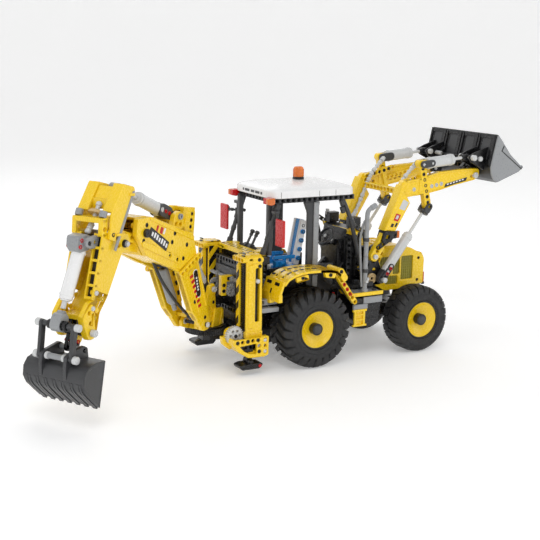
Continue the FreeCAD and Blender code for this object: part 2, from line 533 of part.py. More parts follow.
def stick():
    side_plate = plate(backs([(196, 190), (210, 188), (238, 141.5), (252, 126), (259, 100), (274, 99), (283, 127),
                              (271, 141), (263, 143), (242, 216), (222, 214), (198, 208)]), 14, 22)
    top_bar = plate(backs([(233, 212), (244, 212), (246, 206), (235, 204)]), -14, 14)
    front_wall = plate(backs([(217, 178), (240, 140), (243, 142), (220, 180)]), -14, 14)
    nose = plate(backs([(252, 127), (274, 127), (274, 120), (254, 120)]), -14, 14)
    ears = both(plate(backs([(238, 210), (260, 213), (274, 211), (274, 201), (262, 199), (242, 198)]), 9, 14))
    hangers = both(beam(back((264, 122)), back(BUCKET_PIVOT), 4.4, 3.5, 7.5))
    pins = [pin(back(ROCKER_PIVOT), -30, 30), pin(back(BUCKET_PIVOT), -20.5, 20.5),
            pin(back(BUCKET_CYL_BASE), -14, 14)]
    frame = join(*both(side_plate), top_bar, front_wall, nose, *ears, *hangers, *pins)
    for ends in ((-30, -13), (13, 30)):
        frame = frame.cut(pin(back(STICK_PIVOT), *ends, RUN_R))
    cover = plate(backs([(190, 256), (191, 262), (210, 267), (234, 234), (236, 216), (228, 208), (213, 214)]), 10, 26)
    cover = join(cover, pin(back(DIPPER_EYE), 6.8, 11))
    cover = cover.cut(frame)
    keep_swung("stick_frame", frame)
    keep_swung("stick_covers", both(cover))

    base, eye = back(BUCKET_CYL_BASE), back(UPPER_AXLE)
    block = plate(backs([(257, 212), (280, 215), (282, 202), (278, 197), (259, 199)]), -8, 8)
    barrel = join(block, bar(along(base, eye, 5), along(base, eye, 66), 7, 0))
    barrel = barrel.cut(bar(along(base, eye, 12), along(base, eye, 80), RUN_R, 0)).cut(pin(base, -20, 20, RUN_R))
    keep_swung("bucket_barrel", barrel)
    clevis = beam(eye, along(eye, base, 9), 7.6, -7, 7).cut(pin(eye, -20, 20, 5))
    keep_swung("bucket_rod", join(clevis, bar(along(eye, base, 12), along(eye, base, 60), PIN_R, 0)))
    arms = both(beam(back(ROCKER_PIVOT), back(UPPER_AXLE), 5.6, 8.6, 13))
    arms = [arm.cut(pin(back(ROCKER_PIVOT), -30, 30, RUN_R)).cut(pin(back(UPPER_AXLE), -30, 30, 4.2)) for arm in arms]
    keep_swung("rocker_arms", arms)
    links = [*both(beam(back(UPPER_AXLE), back(LOWER_AXLE), 3.8, 20.5, 24.5)), pin(back(UPPER_AXLE), -28, 28, 2.4)]
    keep_swung("bucket_links", join(*links).cut(pin(back(LOWER_AXLE), -40, 40, RUN_R)))

    outer = [(270, 79), (284, 80), (300, 76.5), (306.5, 69), (308, 58), (303, 48), (292, 37), (281, 27)]
    inner = [(282.5, 31.5), (301, 50), (305.2, 58.5), (304, 68), (298.8, 74), (284, 77), (270.5, 76)]
    shell = plate(backs(outer + inner), -BUCKET_HALF, BUCKET_HALF)
    cheek = plate(backs(outer), BUCKET_HALF - 2.6, BUCKET_HALF)
    ear = plate(backs([(269, 78.5), (271, 90), (277, 93.5), (301, 90), (307, 87), (308, 72), (304, 71), (300, 76),
                       (284, 79)]), 14.6, 19.6)
    bucket = join(shell, *both(cheek), *both(ear), pin(back(LOWER_AXLE), -27, 27))
    bucket = bucket.cut(pin(back(BUCKET_PIVOT), 14, 20, RUN_R)).cut(pin(back(BUCKET_PIVOT), -20, -14, RUN_R))
    keep_swung("backhoe_bucket", bucket)


chassis()
for name, hand in (("left", 1), ("right", -1)):
    wheel("rear_" + name, hand, 0, REAR_R, REAR_R, REAR_IN, REAR_OUT, 46, 86)
    wheel("front_" + name, hand, FRONT_X, FRONT_Z, FRONT_R, FRONT_IN, FRONT_OUT, 50, 84)
    knuckle(name, hand)
    mirror(name, hand)
side_steps()
hood()
cab()
fenders()
small_parts()
seat()
levers()
pedestals()
loader()
keep("stabiliser_towers", [stabiliser("left", 1), stabiliser("right", -1)])
swing_post()
hose()
boom()
stick()

os.makedirs("parts", exist_ok=True)
everything = []
for name, shapes in nodes.items():
    for shape in shapes:
        shape.translate(point(CENTRE_X, CENTRE_Y, 0))
    solids = [solid for shape in shapes for solid in shape.Solids]
    whole = solids[0] if len(solids) == 1 else Part.makeCompound(solids)
    whole.exportStep("parts/" + name + ".step")
    everything += solids
    print(name, len(solids), "solids, valid", whole.isValid(), "volume", round(whole.Volume))
bounds = Part.makeCompound(everything).optimalBoundingBox(False)
print("x", round(bounds.XMin, 2), round(bounds.XMax, 2), "y", round(bounds.YMin, 2), round(bounds.YMax, 2),
      "z", round(bounds.ZMin, 2), round(bounds.ZMax, 2))
print(len(nodes), "nodes")
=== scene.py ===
import math

import bmesh
import bpy
from mathutils import Matrix, Vector
from mathutils.geometry import tessellate_polygon


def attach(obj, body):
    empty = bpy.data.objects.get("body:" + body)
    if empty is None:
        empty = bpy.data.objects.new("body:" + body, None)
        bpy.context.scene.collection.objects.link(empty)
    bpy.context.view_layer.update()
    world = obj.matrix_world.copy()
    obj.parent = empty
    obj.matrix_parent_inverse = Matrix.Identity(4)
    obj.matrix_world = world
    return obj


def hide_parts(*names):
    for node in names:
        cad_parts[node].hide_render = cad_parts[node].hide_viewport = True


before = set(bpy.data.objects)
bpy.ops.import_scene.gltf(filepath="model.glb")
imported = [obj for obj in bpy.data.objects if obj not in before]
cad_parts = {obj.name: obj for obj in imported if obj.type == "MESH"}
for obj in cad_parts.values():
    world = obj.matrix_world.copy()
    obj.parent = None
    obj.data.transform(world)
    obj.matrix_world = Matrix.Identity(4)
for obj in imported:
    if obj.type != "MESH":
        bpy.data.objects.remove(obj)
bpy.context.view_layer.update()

# Shapes are written in millimetres: ROW takes the tractor's own millimetres to the frame's metres, and
# HOE takes (reach, side, height) in the swung backhoe's upright plane.
MM = 0.001
ROW = Matrix.Scale(MM, 4) @ Matrix.Translation((27.745, 49.835, 0))
HOE = ROW @ Matrix.Translation((-122, 0, 0)) @ Matrix.Rotation(math.radians(30), 4, "Z")
HOE = HOE @ Matrix.Diagonal((-1, 1, 1, 1))
EASE = 0.4
HOLE_R = 2.45
PITCH = 8.0


# ---------------------------------------------------------------- shapes, as lists of (corners, faces)
def loft(rings, cap=True, loop=False):
    """Skin over rings of equally many points."""
    count, corners, faces = len(rings[0]), [tuple(p) for ring in rings for p in ring], []
    for k in range(len(rings) if loop else len(rings) - 1):
        a, b = k * count, (k + 1) % len(rings) * count
        faces += [(a + i, a + (i + 1) % count, b + (i + 1) % count, b + i) for i in range(count)]
    if cap and not loop:
        faces += [tuple(range(count)), tuple(range(len(corners) - count, len(corners)))]
    return [(corners, faces)]


def moved(parts, matrix):
    """The parts with a matrix applied."""
    return [([tuple(matrix @ Vector(p)) for p in corners], faces) for corners, faces in parts]


def mirrored(parts):
    """The parts reflected from left to right."""
    return moved(parts, Matrix.Diagonal((1, -1, 1, 1)))


def both(parts):
    """The parts and their mirror image."""
    return parts + mirrored(parts)


def lerp(a, b, t):
    """The point a share t of the way from a to b."""
    return tuple(p + (q - p) * t for p, q in zip(a, b))


def row(a, b, count):
    """Equally spaced points from a to b."""
    return [lerp(a, b, k / max(1, count - 1)) for k in range(count)]


def area(loop):
    """The signed area of a closed loop."""
    return sum(p[0] * q[1] - q[0] * p[1] for p, q in zip(loop, loop[1:] + loop[:1])) / 2


def inset(loop, distance):
    """The closed loop of (a, b) moved inwards by a distance."""
    turn, made = math.copysign(1, area(loop)), []
    for p, q, r in zip(loop[-1:] + loop[:-1], loop, loop[1:] + loop[:1]):
        d, e = Vector(q) - Vector(p), Vector(r) - Vector(q)
        d.normalize()
        e.normalize()
        m, n = Vector((-d.y, d.x)) * turn, Vector((-e.y, e.x)) * turn
        made.append(tuple(Vector(q) + (m + n) * distance / max(0.4, 1 + m.dot(n))))
    return made


def rounded(loop, radius, steps=4):
    """The closed loop with its corners rounded."""
    made = []
    for p, q, r in zip(loop[-1:] + loop[:-1], loop, loop[1:] + loop[:1]):
        p, q, r = Vector(p), Vector(q), Vector(r)
        cut = min(radius, (p - q).length * 0.45, (r - q).length * 0.45)
        a, b = q + (p - q).normalized() * cut, q + (r - q).normalized() * cut
        for k in range(steps + 1):
            t = k / steps
            made.append(tuple(a * (1 - t) ** 2 + q * 2 * t * (1 - t) + b * t ** 2))
    return made


def circle(at, radius, count=14):
    """Points round a circle."""
    return [(at[0] + radius * math.cos(2 * math.pi * k / count),
             at[1] + radius * math.sin(2 * math.pi * k / count)) for k in range(count)]


AXES = {"y": lambda a, b, t: (a, t, b), "z": lambda a, b, t: (a, b, t), "x": lambda a, b, t: (t, a, b)}


def plate(outline, t0, t1, holes=(), ease=EASE, across="y", radius=HOLE_R, windows=()):
    """An outline made solid from t0 to t1 along an axis, with eased edges, counterbored holes and windows."""
    put, corners, faces, fronts, backs = AXES[across], [], [], [], []
    step = min(0.8, (t1 - t0) * 0.3)
    for k, loop in enumerate([outline, *windows, *[None] * len(holes)]):
        if loop is None:
            at = holes[k - 1 - len(windows)]
            wide, narrow = circle(at, radius * 1.25), circle(at, radius)
            rings = [(wide, t0), (wide, t0 + step), (narrow, t0 + step), (narrow, t1 - step),
                     (wide, t1 - step), (wide, t1)]
        else:
            small = inset(loop, ease if k == 0 else -ease)
            rings = [(small, t0), (loop, t0 + ease), (loop, t1 - ease), (small, t1)]
        count, start = len(rings[0][0]), len(corners)
        for points, t in rings:
            corners += [put(a, b, t) for a, b in points]
        for r in range(len(rings) - 1):
            a, b = start + r * count, start + (r + 1) * count
            faces += [(a + i, a + (i + 1) % count, b + (i + 1) % count, b + i) for i in range(count)]
        fronts.append((rings[0][0], start))
        backs.append((rings[-1][0], start + (len(rings) - 1) * count))
    for group in (fronts, backs):
        names = [start + i for points, start in group for i in range(len(points))]
        for triangle in tessellate_polygon([[Vector((a, b, 0)) for a, b in points]
                                            for points, start in group]):
            faces.append(tuple(names[i] for i in triangle))
    return [(corners, faces)]


def rect(x0, x1, z0, z1):
    """The corners of a rectangle."""
    return [(x0, z0), (x1, z0), (x1, z1), (x0, z1)]


def brick(x0, x1, y0, y1, z0, z1, ease=EASE, holes=(), across="y"):
    """A block with eased edges, with a row of holes if asked."""
    a, b, t = {"y": ((x0, x1), (z0, z1), (y0, y1)), "z": ((x0, x1), (y0, y1), (z0, z1)),
               "x": ((y0, y1), (z0, z1), (x0, x1))}[across]
    return plate(rect(*a, *b), *t, holes=holes, ease=ease, across=across)


def capsule(a, b, half, steps=8):
    """The outline of a bar with round ends."""
    turn = math.atan2(b[1] - a[1], b[0] - a[0])
    return [(c[0] + half * math.cos(turn + s + math.pi * k / steps),
             c[1] + half * math.sin(turn + s + math.pi * k / steps))
            for c, s in ((b, -math.pi / 2), (a, math.pi / 2)) for k in range(steps + 1)]


def beam(a, b, half, y0, y1, holes=None, across="y"):
    """A round-ended building beam with a row of pin holes."""
    if holes is None:
        holes = row(a, b, max(2, round(math.dist(a, b) / PITCH) + 1))
    return plate(capsule(a, b, half), y0, y1, holes=holes, across=across, radius=min(HOLE_R, half * 0.62))


def basis(a, b):
    """A matrix whose Z runs from a towards b, with its origin at a."""
    z = (Vector(b) - Vector(a)).normalized()
    x = (Vector((0, 1, 0)) if abs(z.y) < 0.9 else Vector((1, 0, 0))).cross(z).normalized()
    return Matrix.Translation(a) @ Matrix((x, z.cross(x), z)).transposed().to_4x4()


def turned(profile, a, b, count=24, loop=False):
    """A profile of (radius, distance from a) turned about the line from a towards b."""
    rings = [[(r * math.cos(2 * math.pi * k / count), r * math.sin(2 * math.pi * k / count), t)
              for k in range(count)] for r, t in profile]
    return moved(loft(rings, loop=loop), basis(a, b))


def rod(a, b, radius, count=20, ease=EASE):
    """A round bar with eased ends."""
    end, e = math.dist(a, b), min(ease, radius * 0.4)
    return turned([(radius - e, 0), (radius, e), (radius, end - e), (radius - e, end)], a, b, count)


def tube(a, b, outer, inner, count=20):
    """A round bar with a bore."""
    end, e = math.dist(a, b), 0.3
    return turned([(outer - e, 0), (outer, e), (outer, end - e), (outer - e, end), (inner, end),
                   (inner, 0)], a, b, count, loop=True)


def prism(section, a, b, ease=0.2):
    """A section of (p, q) run from a to b."""
    end, small = math.dist(a, b), inset(section, ease)
    rings = [[(p, q, t) for p, q in points] for points, t in
             ((small, 0), (section, ease), (section, end - ease), (small, end))]
    return moved(loft(rings), basis(a, b))


def axle(a, b, radius=2.4):
    """A cross-shaped axle."""
    w = radius * 0.38
    r = radius * 0.95
    return prism([(w, w), (w, r), (-w, r), (-w, w), (-r, w), (-r, -w), (-w, -w), (-w, -r), (w, -r),
                  (w, -w), (r, -w), (r, w)], a, b)


def bush(a, b, t0, t1, radius=3.7):
    """A flanged bush on the line from a to b, from t0 to t1 along it."""
    third = (t1 - t0) / 4
    profile = [(1.6, t0), (radius, t0), (radius, t0 + third), (radius - 0.8, t0 + third),
               (radius - 0.8, t1 - third), (radius, t1 - third), (radius, t1), (1.6, t1)]
    return turned(profile, a, b, 18, loop=True)


def stud(at, y, out, radius=2.4, proud=0.5, across="y"):
    """The hollow end of a connector pin in a beam's face at y, looking along out (+1 or -1)."""
    a, b = AXES[across](at[0], at[1], y), AXES[across](at[0], at[1], y + out)
    return turned([(0, -1.5), (radius, -1.5), (radius, proud - 0.3), (radius - 0.3, proud),
                   (radius * 0.62, proud), (radius * 0.58, -0.8), (0, -0.8)], a, b, 14)


def studs(places, y, out, **how):
    """One pin end at each place."""
    return [part for at in places for part in stud(at, y, out, **how)]


def knob(a, b, radius, length, across=0.35):
    """An end cap with a hollow, at a, facing away from b."""
    return turned([(0, -0.6), (radius * across, -0.6), (radius * (across + 0.1), 0), (radius - 0.6, 0),
                   (radius, 0.6), (radius, length - 0.6), (radius - 0.6, length), (0, length)], a, b, 20)


def gear(at, y0, y1, teeth, radius, depth=1.6, bore=2.4):
    """A spur gear about Y with a bore and lightening holes."""
    loop = []
    for k in range(teeth):
        for r, half in ((radius - depth, -0.30), (radius, -0.14), (radius, 0.14), (radius - depth, 0.30)):
            turn = 2 * math.pi * (k + 0.5 + half) / teeth
            loop.append((at[0] + r * math.cos(turn), at[1] + r * math.sin(turn)))
    lights = [circle(p, radius * 0.13, 10) for p in circle(at, radius * 0.55, 6)]
    return plate(loop, y0, y1, windows=[circle(at, bore, 12), *lights], ease=0.25)


def path_tube(points, radius, count=12):
    """A round tube along points."""
    rings = []
    for k, p in enumerate(points):
        a, b = points[max(0, k - 1)], points[min(len(points) - 1, k + 1)]
        turn = basis(a, b).to_3x3()
        rings.append([tuple(Vector(p) + turn @ Vector((radius * math.cos(2 * math.pi * i / count),
                                                       radius * math.sin(2 * math.pi * i / count), 0)))
                      for i in range(count)])
    return loft(rings)


def curved(points, steps=6):
    """A smooth line through the points."""
    made = []
    for k in range(len(points) - 1):
        p = [Vector(points[min(max(k + i, 0), len(points) - 1)]) for i in (-1, 0, 1, 2)]
        for s in range(steps):
            t = s / steps
            made.append(tuple(0.5 * (2 * p[1] + (p[2] - p[0]) * t
                                     + (2 * p[0] - 5 * p[1] + 4 * p[2] - p[3]) * t ** 2
                                     + (3 * p[1] - p[0] - 3 * p[2] + p[3]) * t ** 3)))
    return made + [tuple(points[-1])]


def joint_shaft(points, y, radius=3.2):
    """A light shaft through points of (x, z) at y: sleeves with a forked joint at each bend."""
    parts = []
    for a, b in zip(points, points[1:]):
        a, b = (a[0], y, a[1]), (b[0], y, b[1])
        length = math.dist(a, b)
        parts += turned([(radius * 0.55, 0), (radius, 1.5), (radius, 5), (radius * 0.7, 5.6),
                         (radius * 0.7, length * 0.5 - 1), (radius * 0.95, length * 0.5 - 1),
                         (radius * 0.95, length * 0.5 + 1), (radius * 0.7, length * 0.5 + 1),
                         (radius * 0.7, length - 5.6), (radius, length - 5), (radius, length - 1.5),
                         (radius * 0.55, length)], a, b, 14)
    return parts


# ---------------------------------------------------------------- materials
def noise(tree, scale, detail, coords, stretch=None):
    """A noise texture's value, on stretched coordinates if asked."""
    node = tree.nodes.new("ShaderNodeTexNoise")
    node.inputs["Scale"].default_value = scale
    node.inputs["Detail"].default_value = detail
    if stretch:
        squeeze = tree.nodes.new("ShaderNodeMapping")
        squeeze.inputs["Scale"].default_value = stretch
        tree.links.new(coords, squeeze.inputs["Vector"])
        coords = squeeze.outputs["Vector"]
    tree.links.new(coords, node.inputs["Vector"])
    return node.outputs["Fac"]


def spread(tree, value, low, high, start=0.3, end=0.7):
    """A value's range from start to end spread over low to high."""
    node = tree.nodes.new("ShaderNodeMapRange")
    node.inputs["From Min"].default_value = start
    node.inputs["From Max"].default_value = end
    node.inputs["To Min"].default_value = low
    node.inputs["To Max"].default_value = high
    tree.links.new(value, node.inputs["Value"])
    return node.outputs["Result"]


def mix(tree, factor, one, two):
    """Two colours mixed by a factor."""
    node = tree.nodes.new("ShaderNodeMix")
    node.data_type = "RGBA"
    tree.links.new(factor, node.inputs["Factor"])
    for socket, value in (("A", one), ("B", two)):
        entry = [s for s in node.inputs if s.name == socket and s.type == "RGBA"][0]
        if isinstance(value, tuple):
            entry.default_value = (*value, 1)
        else:
            tree.links.new(value, entry)
    return [s for s in node.outputs if s.type == "RGBA"][0]


def plastic(name, colour, rough=0.28, vary=0.03, bump=0.04, grain=2200.0, coat=0.0, clear=0.0, sheen=0.0):
    """Moulded plastic: a drifting tone, a polished skin with faint swirls, and fine grain."""
    material = bpy.data.materials.new(name)
    material.use_nodes = True
    tree = material.node_tree
    shader = tree.nodes["Principled BSDF"]
    coords = tree.nodes.new("ShaderNodeTexCoord").outputs["Object"]
    drift = noise(tree, 38.0, 3.0, coords)
    dark = tuple(c * (1 - vary) for c in colour)
    light = tuple(min(1.0, c * (1 + vary * 0.6)) for c in colour)
    tint = mix(tree, spread(tree, drift, 0.0, 1.0), dark, light)
    wear = noise(tree, 900.0, 4.0, coords, (1.0, 0.25, 1.0))
    pale = tuple(min(1.0, c * 1.15 + 0.015) for c in colour)
    tree.links.new(mix(tree, spread(tree, wear, 0.0, 0.35, 0.62, 0.78), tint, pale),
                   shader.inputs["Base Color"])
    skin = noise(tree, 320.0, 5.0, coords, (1.0, 3.0, 1.0))
    tree.links.new(spread(tree, skin, rough * 0.8, rough * 1.25), shader.inputs["Roughness"])
    relief = tree.nodes.new("ShaderNodeBump")
    relief.inputs["Strength"].default_value = bump
    relief.inputs["Distance"].default_value = 0.0002
    tree.links.new(noise(tree, grain, 2.0, coords), relief.inputs["Height"])
    tree.links.new(relief.outputs["Normal"], shader.inputs["Normal"])
    shader.inputs["IOR"].default_value = 1.5
    if coat:
        shader.inputs["Coat Weight"].default_value = coat
        shader.inputs["Coat Roughness"].default_value = 0.08
    if clear:
        shader.inputs["Transmission Weight"].default_value = clear
    if sheen:
        shader.inputs["Sheen Weight"].default_value = sheen
    return material


def striped(name, colour, other, direction, period, share=0.5, **how):
    """Plastic crossed by slanting bands of another colour."""
    material = plastic(name, colour, **how)
    tree = material.node_tree
    shader = tree.nodes["Principled BSDF"]
    under = shader.inputs["Base Color"].links[0].from_socket
    coords = tree.nodes.new("ShaderNodeTexCoord").outputs["Object"]
    along = tree.nodes.new("ShaderNodeVectorMath")
    along.operation = "DOT_PRODUCT"
    along.inputs[1].default_value = tuple(d / (period * MM) for d in direction)
    tree.links.new(coords, along.inputs[0])
    fract = tree.nodes.new("ShaderNodeMath")
    fract.operation = "FRACT"
    tree.links.new(along.outputs["Value"], fract.inputs[0])
    band = tree.nodes.new("ShaderNodeMath")
    band.operation = "LESS_THAN"
    band.inputs[1].default_value = share
    tree.links.new(fract.outputs["Value"], band.inputs[0])
    tree.links.new(mix(tree, band.outputs["Value"], under, other), shader.inputs["Base Color"])
    return material


YELLOW = (0.93, 0.62, 0.010)
BLACK = (0.008, 0.008, 0.009)
DARK = (0.044, 0.045, 0.048)
GREY = (0.30, 0.31, 0.32)
PALE = (0.60, 0.61, 0.61)
WHITE = (0.86, 0.86, 0.86)
MATERIALS = {"yellow_plastic": plastic("yellow_plastic", YELLOW, rough=0.26, coat=0.25),
             "black_plastic": plastic("black_plastic", BLACK, rough=0.3, vary=0.25),
             "dark_grey_plastic": plastic("dark_grey_plastic", DARK, rough=0.36,
                                          vary=0.12),
             "light_grey_plastic": plastic("light_grey_plastic", GREY, rough=0.3),
             "white_plastic": plastic("white_plastic", WHITE, rough=0.24, vary=0.03,
                                      coat=0.2), "silver_plastic": plastic("silver_plastic", PALE,
        rough=0.24, coat=0.2), "red_plastic": plastic("red_plastic", (0.55, 0.006, 0.008),
                                                      rough=0.28),
             "blue_plastic": plastic("blue_plastic", (0.015, 0.26, 0.68), rough=0.28),
             "orange_lens": plastic("orange_lens", (0.95, 0.22, 0.01), rough=0.12, clear=0.35,
                                    coat=0.5), "tan_plastic": plastic("tan_plastic",
        (0.62, 0.45, 0.22), rough=0.32), "olive_mesh": plastic("olive_mesh", (0.30, 0.27, 0.03),
        rough=0.5, vary=0.2), "tyre_rubber": plastic("tyre_rubber", (0.016, 0.016, 0.017), rough=0.6,
                                                     vary=0.2, bump=0.35, grain=1400.0),
             "hose_rubber": plastic("hose_rubber", (0.018, 0.018, 0.02), rough=0.45, vary=0.2, bump=0.2),}


def piece(name, body, slot, parts, replaces=(), matrix=ROW, paint=None):
    """One named piece made of parts, finished in its slot's material, riding on a body."""
    corners, faces = [], []
    for points, polygons in parts:
        start = len(corners)
        corners += [matrix @ Vector(p) for p in points]
        faces += [tuple(start + i for i in polygon) for polygon in polygons]
    mesh = bpy.data.meshes.new(name)
    mesh.from_pydata(corners, [], faces)
    made = bmesh.new()
    made.from_mesh(mesh)
    bmesh.ops.recalc_face_normals(made, faces=made.faces)
    made.to_mesh(mesh)
    made.free()
    mesh.polygons.foreach_set("use_smooth", [True] * len(mesh.polygons))
    mesh.set_sharp_from_angle(angle=math.radians(52))
    obj = bpy.data.objects.new(name, mesh)
    bpy.context.scene.collection.objects.link(obj)
    obj.data.materials.append(paint or MATERIALS[slot])
    soft = obj.modifiers.new("normals", "WEIGHTED_NORMAL")
    soft.keep_sharp = True
    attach(obj, body)
    if replaces:
        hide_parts(*replaces)
    return obj


# ---------------------------------------------------------------- wheels
REAR_R, FRONT_R, FRONT_X, FRONT_Z = 53.5, 47.0, 175.0, 47.0


def tread_block(x, z, middle, hand, turn, stations):
    """One rubber block. Its stations hold the offset from the tread's middle, the turn, the foot
    and top radii and the half width."""
    rings = []
    for offset, lag, foot, top, half in stations:
        angle, y = turn + math.radians(lag), middle + hand * offset
        rings.append([(x + r * math.cos(angle + s * w / r), y, z + r * math.sin(angle + s * w / r))
                      for r, s, w in ((foot, -1, half * 1.12), (top, -1, half * 0.86), (top, 1, half * 0.86),
                                      (foot, 1, half * 1.12))])
    return loft(rings)


def wheel(name, body, hand, x, z, radius, inner, outer, blocks, stations, groove):
    """One wheel riding on its body: tyre carcass, two rows of tread blocks, rim, spokes and hub."""
    middle = hand * (inner + outer) / 2
    half = (outer - inner) / 2
    core = radius - groove
    side_in = [(27.2, half - 2), (28.5, half - 0.6), (30.5, half - 0.4), (31.2, half + 0.0), (33, half),
               (33.8, half - 0.7), (core - 13, half + 0.0), (core - 9, half - 0.3),
               (core - 8.4, half - 1.1), (core - 4.5, half - 2.6), (core - 1.2, half - 6),
               (core, half - 11)]
    profile = [(r, t) for r, t in side_in] + [(r, -t) for r, t in side_in[::-1]]
    profile += [(27.2, -half + 8), (core - 12, -half + 10), (core - 12, half - 10), (27.2, half - 8)]
    carcass = turned(profile, (x, middle, z), (x, middle + 1, z), 96, loop=True)
    parts = list(carcass)
    for k in range(blocks):
        for way in (1, -1):
            turn = 2 * math.pi * (k + (0.25 if way > 0 else -0.25)) / blocks
            parts += tread_block(x, z, middle, way, turn, stations)
    piece("tyre_tread_" + name, body, "tyre_rubber", parts, replaces=["tyre_" + name])
    face = hand * (outer - 2)

    def about(profile, count=64, loop=False):
        return turned([(r, t * hand) for r, t in profile], (x, face, z), (x, face + 1, z), count, loop)

    piece("rim_ring_" + name, body, "black_plastic", about([(24.9, -1.6), (24.9, 0.2), (25.5, 0.8),
                                                            (26.8, 0.8), (27.4, 0.2), (27.6, -3),
                                                            (25.6, -3)], loop=True))
    dish = [(25.2, -1.0), (24.4, -1.2), (23.6, -2.0), (21, -4.4), (17.5, -6.8), (14, -8.4), (11, -9.4),
            (9.2, -9.7), (8.6, -9.9), (2.45, -9.9), (2.45, -13), (8.6, -13), (12, -12.4), (24.0, -10),
            (24.0, -36.2), (27.0, -36.2), (27.0, -1.6)]
    spokes = []
    for k in range(6):
        turn = math.pi * k / 3
        out, over = (math.cos(turn), math.sin(turn)), (-math.sin(turn), math.cos(turn))
        corners = [(x + r * out[0] + w * over[0], z + r * out[1] + w * over[1])
                   for r, w in ((8, -1.4), (24.6, -1.4), (24.6, 1.4), (8, 1.4))]
        spokes += plate(corners, *sorted((face - hand * 12, face - hand * 24)))
    piece("rim_dish_" + name, body, "yellow_plastic", about(dish, loop=True) + spokes,
          replaces=["rim_" + name])
    cap = about([(0, 1.6), (2.4, 1.5), (4.4, 1.1), (5.6, 0.4), (6.0, -0.6), (5.6, -0.7), (2.6, -1),
                 (2.6, -12), (0, -12)], 48)
    piece("hub_dome_" + name, body, "dark_grey_plastic", cap)
    collar = about([(5.7, -1.2), (5.9, -0.2), (7.4, -0.1), (8.0, -0.6), (8.1, -2.6), (7.8, -2.8),
                    (7.8, -9.7), (3, -9.8), (3, -1.4)], 48, loop=True)
    piece("hub_cap_" + name, body, "black_plastic", collar)


REAR_BLOCKS = [(1.0, -6, 46.5, 53.3, 4.4), (10, -1.5, 46.5, 53.3, 4.4), (17, 3.6, 46, 52.6, 4.4),
               (20.6, 6.0, 44, 50.3, 4.2), (21.9, 7.2, 42, 46.5, 3.8), (22.0, 8.2, 39.5, 42.0, 3.2)]
FRONT_BLOCKS = [(0.6, -5, 42, 46.9, 5.2), (9, -3.0, 42, 46.9, 5.2), (14, -0.5, 41, 45.7, 5.1),
                (16.6, 1.2, 39.5, 43.4, 4.8), (17.9, 2.4, 37.5, 40.2, 4.2)]
for name, hand in (("left", 1), ("right", -1)):
    wheel("rear_" + name, "wheel_rear_" + name, hand, 0, REAR_R, REAR_R, 44, 88, 24, REAR_BLOCKS, 4.6)
    wheel("front_" + name, "wheel_front_" + name, hand, FRONT_X, FRONT_Z, FRONT_R, 48, 86, 26,
          FRONT_BLOCKS, 1.9)
    x, z = FRONT_X, FRONT_Z
    arm = plate(rounded([(x - 7, 34), (x + 7, 34), (x + 7, 39.6), (x - 7, 39.6)], 1.5), 33, 52)
    arm += plate(rounded([(x - 7, 54.4), (x + 7, 54.4), (x + 7, 60), (x - 7, 60)], 1.5), 33, 52)
    arm += plate(rounded([(x - 7, 34), (x + 7, 34), (x + 7, 60), (x - 7, 60)], 2.5), 47.5, 52,
                 holes=[(x, 38), (x, 56)])
    arm += rod((x, 40, 33.8), (x, 40, 60), 2.4)
    piece("knuckle_" + name, "knuckle_" + name, "black_plastic", arm if hand > 0 else mirrored(arm))
    stub = axle((x, 50, z), (x, 74, z))
    stub += bush((x, 50, z), (x, 74, z), 2, 6)
    piece("stub_axle_" + name, "knuckle_" + name, "light_grey_plastic", stub if hand > 0 else mirrored(stub),
          replaces=["steering_knuckle_" + name])


